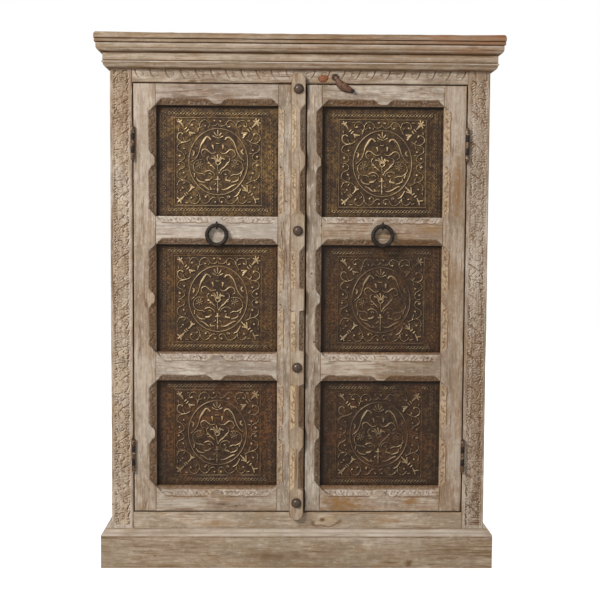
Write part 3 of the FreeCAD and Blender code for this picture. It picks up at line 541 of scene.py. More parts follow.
# the knot has a dark eye in a pale ring, dark along its foot
knot = np.hypot((x2 - 64) / 36, (z2 - 112) / 15)
eye = held(1.5 - np.hypot((x2 - 57) / 6, (z2 - 113) / 4.5))
ring = held(1 - np.abs(knot - 1 + 0.15 * uneven(x2, z2, 9, 48)) / 0.2)
ring = ring * held((116 - z2) / 6)
dirt_and_shade = np.maximum(0.95 * eye, 0.8 * ring) + 0.25 * held((100 - z2) / 8)
smoke_and_shadow = 1.3 - np.hypot((x2 - 26) / 22, (z2 - 108) / 13) + 0.5 * uneven(x2 / 2, z2, 7, 49)
smoke_and_shadow = np.maximum(0.6 * held(smoke_and_shadow), np.clip(0.9 * uneven(x2 / 5, z2, 7, 44) - 0.4, 0, 0.5))
blots = np.minimum(np.hypot((x2 - 205) / 34, (z2 - 112) / 9), np.hypot((x2 + 190) / 60, (z2 - 104) / 6))
marks = {"dirt_and_shade": dirt_and_shade, "gold": np.maximum(0.5 * held(1.2 - knot), 0.15), "wear": rub, "smoke_and_shadow": smoke_and_shadow,
         "rust": 0.55 * held(1.2 - blots + 0.5 * uneven(x2, 2 * z2, 9, 47))}
rail = relief("sill_rail_worn", x, y, z2, back, marks, limewash("limewashed_sill_rail", 0, 45, 0.02, 0.06))
set_in(rail, "carcass", "limewashed_wood", "sill_rail")


# The cornice: planed hardwood mouldings mitred at the front corners, a bed hollow under a flat band,
# a round, a neck and a thick crown. The wash is worn through to brown along the top edge.
def moulded(name, outline, run, place, material, stain=lambda t, o, u: 0.0, mark="rust"):
    """A moulding: an outline of (out, up, wear, darkening, paleness) in mm carried along its run, closed at
    both ends, with stains that go into the named mark. The darkening is partly soiling and partly painted
    shade, the paleness partly limewash and partly painted highlight."""
    loop = outline + outline[:1]
    bm = bmesh.new()
    bmesh.ops.create_grid(bm, x_segments=len(loop) - 1, y_segments=len(run) - 1, size=0.5)
    labels = ("wear", "dirt_and_shade", "lime_and_highlight", mark)
    for label in dict.fromkeys(labels):
        bm.verts.layers.float.new(label)
    rubbed, grimed_and_shaded, whited_and_highlighted, stained = (bm.verts.layers.float[label] for label in labels)
    for vertex in bm.verts:
        out, up, wear, dirt_and_shade, lime_and_highlight = loop[round((vertex.co.x + 0.5) * (len(loop) - 1))]
        share = run[round((vertex.co.y + 0.5) * (len(run) - 1))]
        spot = float(uneven(share * 900.0, 3.0 * (up + out), 31, len(run)))
        vertex[rubbed] = min(1.0, max(0.0, wear + 0.4 * spot))
        vertex[whited_and_highlighted] = min(0.9, max(0.0, lime_and_highlight * (1 + 0.9 * spot)))
        vertex[grimed_and_shaded] = min(0.95, max(0.0, dirt_and_shade * (1 + 0.5 * spot)))
        vertex[stained] = max(vertex[stained], min(0.9, stain(share, out, up)))
        vertex.co = Vector(place(share, out, up)) * MM
    bmesh.ops.remove_doubles(bm, verts=bm.verts, dist=0.000001)
    return piece_of(name, bm, material, 42)


def sector(out, up, radius, start, stop, steps):
    """Points of a planed round or hollow."""
    return [(out + radius * math.cos(a), up + radius * math.sin(a)) for a in
            (math.radians(start + (stop - start) * i / steps) for i in range(steps + 1))]


def close_set(outline, step):
    """The same outline with its points no more than step mm apart."""
    points = []
    for a, b in zip(outline, outline[1:]):
        parts = math.ceil(math.dist(a, b) / step)
        points += [(a[0] + (b[0] - a[0]) * i / parts, a[1] + (b[1] - a[1]) * i / parts) for i in range(parts)]
    return points + outline[-1:]


low, high = sides("cornice_front")[4:]
half, face = sides("right_front_post")[1], sides("left_front_post")[2]
depth = sides("left_rear_post")[3]
# the profile as (out from the body, up from the cornice's foot), with a sunk quirk between its members
bed = [(0, 0), (2, 0)] + sector(2, 12.5, 12.5, -90, 0, 12) + [(16.5, 13), (16.5, 16)]
band = [(13.4, 16.4), (13.4, 17.3), (14.6, 17.6), (14.6, 34.4), (12.6, 34.7), (12.6, 35.8)]
ovolo = sector(15, 47, 11, -90, 0, 12) + [(26, 55.2), (23.4, 55.5), (23.4, 56.4)]
crown = [(29, 56.8), (29, 63.2), (26.6, 63.5), (26.6, 64.5), (30.2, 64.8), (30.2, 69)] \
    + sector(24.4, 69.8, 5.6, 0, 90, 6) + [(0, high - low)]
# how dark and how pale, by height above the cornice's foot: dark in the quirks and low on each round,
# partly as soiling and partly as painted shade, and pale along the rounds and lips as painted highlight
# with some limewash
grimed_and_shaded = ((0, 0.9), (1.5, 0.85), (2.5, 0.3), (5, 0.1), (8, 0.25), (9.5, 0.5), (10.5, 0.5), (11.5, 0.15),
          (15.8, 0), (16.2, 0.95), (17.6, 0.95), (18.2, 0.3), (20, 0.1), (26, 0.02), (31, 0.12), (33.6, 0.3),
          (34.4, 0.95), (37, 0.95), (38, 0.35), (41, 0.1), (43, 0.45), (44.5, 0.45), (46, 0.2), (54.6, 0),
          (55.2, 0.95), (56.8, 0.95), (57.6, 0.4), (60, 0.3), (62.8, 0.3), (63.4, 0.95), (64.8, 0.95),
          (65.4, 0.35), (68, 0.15), (80, 0.1))
limed_and_highlighted = ((0, 0), (4, 0.1), (6, 0.2), (9, 0), (13, 0.25), (15, 0.45), (16.2, 0), (22, 0.12), (26, 0.2),
         (31, 0), (40, 0.1), (41.5, 0.35), (43, 0), (50, 0.15), (53.5, 0.35), (55, 0), (66, 0.1), (68, 0.15),
         (72, 0), (80, 0))
outline = []
for o, u in close_set([(o, low + u) for o, u in bed + band + ovolo + crown], 1.0):
    wear = max(0.0, min(1.0, 0.25 + 0.8 * (u - (high - 12)) / 12)) if o > 20 else 0.3
    outline.append((o, u, wear, np.interp(u - low, *zip(*grimed_and_shaded)), np.interp(u - low, *zip(*limed_and_highlighted))))
bow, overhang, crown_from = 2.5, 2.3, 64


def raised(t, o, u):
    """The crown's height in mm: bowed up towards its ends, and worn along its top edge."""
    share = max(0.0, (u - low - crown_from) / (high - low - crown_from))
    worn_off = 0.9 * abs(float(uneven(t * 930.0, float(o), 38, 52)))
    return u + share * (bow + 1.5 * (2 * t - 1) ** 2) - (worn_off if u > high - 8 and o > 15 else 0)


def front_place(t, o, u):
    """The front run, which overhangs a little more at its left end."""
    left_end = half + o + (overhang if o > 20 else 0)
    ripple = 0.5 * float(uneven(t * 930.0, float(u), 47, 51)) if o > 0 else 0
    return t * (half + o) - (1 - t) * left_end, face - o + ripple, raised(t, o, u)


def crown_stain(t, o, u):
    """Brown stains along the crown and the round, which are strong at the right end."""
    if o < 14 or u < low + 36:
        return 0.0
    patchy = 0.3 * t * float(uneven(t * 930.0, u, 44, 57))
    return max(0.0, (0.9 if u > low + 57 else 0.4) * t ** 4 - 0.05 + patchy)


def cornice_wash(name, grain, seed):
    """The limewash of the cornice, yellower than the rest, with red-brown stains."""
    return limewash("limewashed_cornice_" + name, grain, seed, 0.04, 0.27, "86652F", spill="8C5830")


piece = moulded("cornice_front_planed", outline, np.linspace(0, 1, 180), front_place,
                cornice_wash("front", 0, 51), crown_stain)
set_in(piece, "carcass", "limewashed_wood", "cornice_front")
for hand, way, seed in (("left", -1, 53), ("right", 1, 54)):
    def side_place(t, o, u):
        """A side run, from the mitre to the back."""
        more = overhang if o > 20 and way < 0 else 0
        return way * (half + o + more), (face - o) * (1 - t) + depth * t, raised((1 + way) / 2, o, u)

    piece = moulded("cornice_" + hand + "_planed", outline, np.linspace(0, 1, 90), side_place,
                    cornice_wash(hand, 1, seed), crown_stain)
    set_in(piece, "carcass", "limewashed_wood", "cornice_" + hand)

# The plinth: deep hardwood boards round the foot with a planed slope on top, worn and stained where
# feet and water have reached them. The front board is mitred to the two side boards.
front, back, low, high = sides("plinth_front")[2:]
upright = 75.6
slope = sides("plinth_left")[5]
out_side = -sides("plinth_left")[0] - half
out_front = face - front
outline = [(0, low), (out_front, low)] + [(out_front, low + (upright - low) * i / 10) for i in range(1, 10)]
outline += [(out_front, upright - 4), (out_front, upright - 2.4), (out_front, upright - 1),
            (out_front - 0.9, upright + 0.6), (out_front * 0.8, upright + 3.8),
            (out_front * 0.6, upright + 7), (out_front * 0.42, upright + 9.8),
            (out_front * 0.25, upright + 12.5), (1, high - 1.2), (0, high)]
# how dark and how pale by height: a dark line at the foot of the slope, a faint one half way up it, one at
# its top, and the slope, which faces up to the lamp, painted pale as highlight
grimed_and_shaded = ((0, 0.3), (4, 0.25), (8, 0), (upright - 4, 0), (upright - 2.2, 0.6), (upright - 0.8, 0.55),
          (upright + 0.6, 0.05), (upright + 4, 0), (upright + 7, 0.3), (upright + 9.8, 0), (high - 1.5, 0.1),
          (high, 0.8))
limed_and_highlighted = ((0, 0), (upright - 1, 0), (upright + 0.6, 0.35), (high - 2, 0.3), (high, 0))
outline = [(o, u, 0.9 if u < 10 else 0.25, np.interp(u, *zip(*grimed_and_shaded)), np.interp(u, *zip(*limed_and_highlighted)))
           for o, u in outline]
# dark water stains on the front: share of the run, height, half sizes and strength
wet = ((0.155, 55, 0.11, 6, 0.4), (0.45, 27, 0.08, 11, 0.65), (0.88, 42, 0.12, 26, 0.28),
       (0.787, 13, 0.009, 9, 0.9), (0.57, 40, 0.05, 25, 0.18), (0.30, 66, 0.06, 4, 0.3))


def plinth_stain(t, o, u):
    """How dark the water stains are at one place on the front."""
    ragged = 1.3 + 0.6 * float(uneven(t * 300.0, 2.0 * u, 9, 62))
    return max(strength * max(0.0, min(1.0, ragged - math.hypot((t - at) / wide, (u - up) / tall)))
               for at, up, wide, tall, strength in wet)


# the left board stands out a little more than the right one
out_left = out_side + 4.0
side_top = upright + 3.0


def plinth_place(t, o, u):
    """The front board, mitred at both ends to the side boards' slopes."""
    share = min(1.0, max(0.0, (slope - 3 - u) / (slope - 3 - side_top)))
    ripple = 0.6 * float(uneven(t * 900, u, 60, 61)) if o > 0 else 0
    return t * (half + share * out_side) - (1 - t) * (half + share * out_left), face - o + ripple, u


piece = moulded("plinth_front_worn", outline, np.linspace(0, 1, 240), plinth_place,
                limewash("limewashed_plinth_front", 0, 61, -0.05, 0.3, "967F5C"), plinth_stain, "dirt_and_shade")
set_in(piece, "carcass", "limewashed_wood", "plinth_front")
for hand, way, seed, out in (("left", -1, 63, out_left), ("right", 1, 64, out_side)):
    front, back, low, high = sides("plinth_" + hand)[2:]
    outline = [(0, low), (out, low)] + [(out, low + (upright - low) * i / 8) for i in range(1, 8)]
    outline += [(out, side_top - 1.5), (out - 1.2, side_top + 1), (out * 0.62, side_top + 9),
                (out * 0.3, side_top + 18), (0, high - 3)]
    # the side boards' slopes are painted pale as highlight, and their feet darker
    outline = [(o, u, 0.9 if u < 10 else 0.25, 0.3 if u < 4 else 0.0, 0.3 if u > upright - 2 else 0)
               for o, u in outline]

    def side_place(t, o, u):
        """A side board, from its front end to the back."""
        return way * (half + o), front * (1 - t) + back * t, u

    piece = moulded("plinth_" + hand + "_worn", outline, np.linspace(0, 1, 80), side_place,
                    limewash("limewashed_plinth_" + hand, 1, seed, 0.10))
    set_in(piece, "carcass", "limewashed_wood", "plinth_" + hand)


# The door frames: stiles and rails joined by pegged tenons. Every opening has a carved stop chamfer on
# its four sides, broken in the middle of each by a smooth rounded tab, and square stops at the corners.
def stop_chamfers(x, z, holes, seed):
    """Depth in mm of the carved chamfers round the openings, and where they are dark, rubbed, golden and
    pale.
    The dark share is partly soiling and partly painted shade, heaviest on the top and left slopes, which face
    away from the lamp; the golden and pale shares are partly painted highlights and glints on the others."""
    depth, dirt_and_shade, rub, gold, lime_and_highlight = np.zeros((5,) + np.broadcast(x, z).shape)
    deep = 10.0
    for tier, (x0, x1, z0, z1) in enumerate(holes):
        mx, mz, hx, hz = (x0 + x1) / 2, (z0 + z1) / 2, (x1 - x0) / 2, (z1 - z0) / 2
        # left, right, bottom and top: how wide the slope is, how brown, how dark its cuts are, how golden,
        # how white, how dark its outer rim is, and the sunk ledge before it, which two openings have below.
        # The brown is partly painted shade on the top and left slopes, which face away from the lamp, and the
        # gold on the right slope and the white on the bottom one are partly painted light on slopes that face
        # it
        for out, along, length, wide, grime_and_shade, deepest, glow, white, line, ledge in (
                (x0 - x, z - mz, hz, 16.0 if x0 < 0 else 13.8, 0.7, 0.95, 0.0, 0.0, 0.4, 0.0),
                (x - x1, z - mz, hz, 13.8, 0.16, 0.9, 0.55, 0.05, 0.9, 0.0),
                (z0 - z, x - mx, hx, 14.5, 0.06, 0.85, 0.0, 0.7, 0.85, (0.0, 5.0, 8.0)[tier]),
                (z - z1, x - mx, hx, 13.8, 0.76, 0.95, 0.1, 0.0, 0.4, 0.0)):
            out, along = np.broadcast_arrays(out, along)
            near = (out > -0.5) & (out < wide + ledge + 4) & (np.abs(along) < length)
            d, s = out[near], along[near]
            shelf = held(1 - d / ledge) if ledge else 0 * d
            t = held((d - ledge) / wide)
            a = np.abs(s) + 1.0 * uneven(s, d, 8, seed)
            edge = ledge + wide + 0.9 * uneven(s, d * 0, 10, seed + 1) + 0.8 * uneven(s, d * 0, 3.7, seed + 4)
            # the tab leaves the slope round at its foot and widens towards the face
            round_end = 12 * np.sqrt(held(1 - ((0.42 - t) / 0.30) ** 2)) * (t > 0.12)
            flare = 12 + 12 * held((t - 0.42) / 0.58) ** 1.5
            tab = np.where(t > 0.42, flare, round_end - 2 * (t <= 0.12))
            cut = held((length - d - a) / 1.3) * held((a - tab) / 1.3)
            cut = cut * held((edge - d) / 0.8)
            # curls and slanting nicks, deepest in the middle of the slope
            swell = np.sin(math.pi * np.clip(t, 0.04, 0.96)) ** 0.6
            rough = uneven(s, d, 3.6, seed + 3)
            curl = held(1 - np.abs(uneven(a + 0.5 * d, 1.1 * d, 6.0, seed + 2)) / 0.26)
            slant = (a + 0.8 * d) / 9 + 0.5 * uneven(s, d * 0, 17, seed + 5)
            nick = held(1 - np.abs(slant % 1 - 0.5) * 2 / 0.3)
            carved = np.maximum(0.75 * curl, 0.8 * nick) if white > 0.5 else np.maximum(curl, 0.5 * nick)
            worked = held(carved + 0.35 * rough) * swell
            lip = (deep - 2.0 * (1 - shelf)) if ledge else deep
            down = lip * (1 - t) + 1.8 * worked + 0.6 * rough * swell - 0.7 * swell
            depth[near] = np.maximum(depth[near], np.clip(down, 0, None) * cut)
            # raised beads on the brown slopes are painted pale as highlights, and the bottom slopes white as
            # lit faces
            bead = held(1.6 * rough - 0.45) * swell * (1 - worked)
            hold = np.clip(grime_and_shade + (deepest - grime_and_shade) * worked - (0.6 * bead if grime_and_shade > 0.3 else 0), 0, 0.95)
            hold = np.maximum(hold, (0.5 + 0.35 * shelf + 0.2 * rough) * (shelf > 0))
            rim = held(1.3 - np.abs(d - edge) / 1.5) * (a > tab - 1) * (a < length - d + 2)
            dirt_and_shade[near] = np.maximum(dirt_and_shade[near], np.maximum(cut * hold, line * rim))
            # a painted glint of gold near each tab's end on the bottom slopes
            tip = held(1 - np.abs(a - tab - 7) / 7) * (0.5 if glow < 0.5 and grime_and_shade < 0.3 else 0)
            fair = held(0.75 + 0.6 * uneven(s, d, 17, seed + 6))
            gold[near] = np.maximum(gold[near], cut * np.maximum(glow * fair, tip) * (1 - worked))
            pale = 0.8 * bead if grime_and_shade > 0.3 else (1 - worked) * white * fair
            lime_and_highlight[near] = np.maximum(lime_and_highlight[near], cut * pale * (shelf == 0))
            rubbed = held(1 - np.abs(d - ledge - wide) / 3) * (a > 27) * (a < length - d)
            rub[near] = np.maximum(rub[near], rubbed)
    return depth, dirt_and_shade, rub, gold, lime_and_highlight


# how far the brass is let into the frame, and how much more each board is rubbed and tinted
tongue = 8.0
worn = {"left_hinge_stile": (0.0, 0.2), "left_meeting_stile": (0.01, 0.04), "right_hinge_stile": (0.05, 0.26),
        "left_top_rail": (0.0, 0.24, "84716A"), "left_upper_rail": (0.0, 0.3, "CFC8C2"),
        "left_lower_rail": (0.0, 0.1, "CFC8C2"), "left_bottom_rail": (0.03, 0.12),
        "right_upper_rail": (0.05, 0.26), "right_lower_rail": (0.03, 0.18),
        "right_bottom_rail": (0.04, 0.16, "8F663E")}
# brown stains, then ashy ones: middle across and up, half sizes and strength; the ashy streaks on the right
# meeting stile beside the strip are its painted shadow
stains = {"right_bottom_rail": ((106, 153, 54, 20, 0.85), (266, 158, 22, 13, 0.7), (190, 142, 60, 6, 0.3)),
          "right_upper_rail": ((300, 796, 34, 14, 0.5),),
          "right_hinge_stile": ((352, 640, 9, 100, 0.2), (362, 900, 8, 90, 0.45)),
          "left_bottom_rail": ((-260, 168, 40, 6, 0.35), (-150, 160, 26, 7, 0.3))}
smoke_and_shadow_stains = {"right_hinge_stile": ((354, 470, 12, 70, 0.5),),
          "right_meeting_stile": ((18, 960, 9, 130, 0.5), (20, 560, 7, 60, 0.35), (20, 300, 9, 130, 0.4)),
          "right_bottom_rail": ((230, 148, 60, 5, 0.4),), "left_meeting_stile": ((-46, 470, 5, 60, 0.35),),
          "right_top_rail": ((130, 1098, 40, 5, 0.4), (280, 1112, 40, 5, 0.3)),
          "left_lower_rail": ((-120, 470, 60, 6, 0.35),), "right_lower_rail": ((250, 465, 60, 8, 0.35),)}


def frame_board(node, hand, x_zones, z_zones, span, grain, seed, holes):
    """One stile or rail of a door, between its shoulders."""
    left, right, front, back, low, high = sides(node)
    left, right = span or (left, right)
    x, z = ruled(left, right, 1.0, 3.2, x_zones), ruled(low, high, 1.0, 3.2, z_zones)
    x2, z2 = x[None, :], z[:, None]
    depth, dirt_and_shade, rub, gold, lime_and_highlight = stop_chamfers(x2, z2, holes, seed)
    fall, edge = arris(x2, z2, left, right, low, high, seed)
    y = front + np.maximum(depth, fall * 0.8) + 0.3 * uneven(x2, z2, 55, seed + 1)
    rust, smoke_and_shadow = 0 * dirt_and_shade, 0 * dirt_and_shade
    for sx, sz, rx, rz, strength in stains.get(node, ()):
        blot = 1.2 - np.hypot((x2 - sx) / rx, (z2 - sz) / rz) + 0.5 * uneven(x2, 2 * z2, 9, seed + 2)
        rust = np.maximum(rust, strength * held(blot))
    for sx, sz, rx, rz, strength in smoke_and_shadow_stains.get(node, ()):
        blot = 1.3 - np.hypot((x2 - sx) / rx, (z2 - sz) / rz) + 0.6 * uneven(3 * x2, z2 / 3, 9, seed + 3)
        smoke_and_shadow = np.maximum(smoke_and_shadow, strength * held(blot))
    marks = {"dirt_and_shade": dirt_and_shade, "gold": gold, "lime_and_highlight": lime_and_highlight, "smoke_and_shadow": smoke_and_shadow, "rust": rust,
             "wear": held(np.maximum(0.5 * edge, 0.5 * rub) - 0.3 * dirt_and_shade)}
    board = relief(node + "_carved", x, y, z2, back, marks,
                   limewash("limewashed_" + node, grain, seed, *worn.get(node, ())))
    set_in(board, hand + "_door", "limewashed_wood", node)


tiers = ("upper", "middle", "lower")
for hand, seed in (("left", 100), ("right", 200)):
    holes = []
    for tier in tiers:
        x0, x1, _, _, z0, z1 = sides(hand + "_" + tier + "_brass")
        holes.append((x0 + tongue, x1 - tongue, z0 + tongue, z1 - tongue))
    x0, x1 = holes[0][:2]
    near = ((x0 - 18, x0), (x1, x1 + 16))
    levels = ((holes[2][2] - 24, holes[0][3] + 16),)
    frame_board(hand + "_hinge_stile", hand, near, levels, None, 2, seed + 1, holes)
    frame_board(hand + "_meeting_stile", hand, near, levels, None, 2, seed + 4, holes)
    edges = [(z - 26, z + 17) for hole in holes for z in hole[2:]]
    for row, rail in enumerate(("top", "upper", "lower", "bottom")):
        node = hand + "_" + rail + "_rail"
        frame_board(node, hand, ((x0, x1),), edges, (x0, x1), 0, seed + 11 + 3 * row, holes)

# The panel boards behind the brass: thin sawn boards held in the frame's grooves, bare at the back.
# Their grain runs across the door.
for hand, seed in (("left", 70), ("right", 75)):
    for row, tier in enumerate(tiers):
        node = hand + "_" + tier + "_board"
        finish_with(plain_edges(node, 0.6), bare_wood("bare_sawn_" + node, 0, seed + row))


# The brass panels: thin sheet worked from the back over pitch, with a plant in an oval, scrolls round
# it, a torch in each corner and beaded borders. Dark with age, and bright where cloths have rubbed it.
def old_brass(name, seed, dark, hue):
    """Embossed sheet brass with an old brown patina: satin, nearly black-brown in the ground and dull
    gold on the raised lines, in cloudy stains."""
    material, tree, place = begun(name)
    flat = add(tree, "Mapping", {"Vector": place, "Location": (seed * 31.0, seed * 17.0, seed * 23.0),
               "Scale": [1000.0] * 3})
    rise = add(tree, "Attribute", attribute_name="rise").outputs["Fac"]
    grime_and_shade = add(tree, "Attribute", attribute_name="grime_and_shade").outputs["Fac"]
    # clouds of tarnish 70 mm wide, stains 14 mm wide and hammer grain 5.5 mm wide, drawn coarse to show
    cloud = add(tree, "TexNoise", {"Vector": flat, "Scale": 1 / 70, "Detail": 3.0})
    stain = add(tree, "TexNoise", {"Vector": flat, "Scale": 1 / 14, "Detail": 4.0, "Roughness": 0.6})
    peen = add(tree, "TexNoise", {"Vector": flat, "Scale": 1 / 5.5, "Detail": 2.0})
    tint = add(tree, "MapRange", {"Value": cloud, "From Min": 0.42, "From Max": 0.60, "To Max": 0.6})
    grain = add(tree, "MapRange", {"Value": peen, "From Min": 0.60, "From Max": 0.42, "To Max": 0.8})
    shine = add(tree, "MapRange", {"Value": rise, "From Min": 0.32, "From Max": 0.85,
                "To Max": 0.80 - 0.06 * dark})
    skin = add(tree, "ValToRGB", {0: stain}, stops=((0.30, "322214"), (0.5, "523A22"), (0.72, "775C38")))
    # the darkest layer is painted shade along the frame and under the raised lines, with patina and tarnish
    layers = ((tint, hue), (grain, "291B11"), (shine, "CDB287"), (dark, "2B1B10"), (grime_and_shade, "1E140D"))
    rough = add(tree, "MapRange", {"Value": rise, "To Min": 0.62, "To Max": 0.42})
    coat(tree, skin, layers, peen, 0.5, 0.0008, {"Metallic": 0.5, "Roughness": rough})
    return material


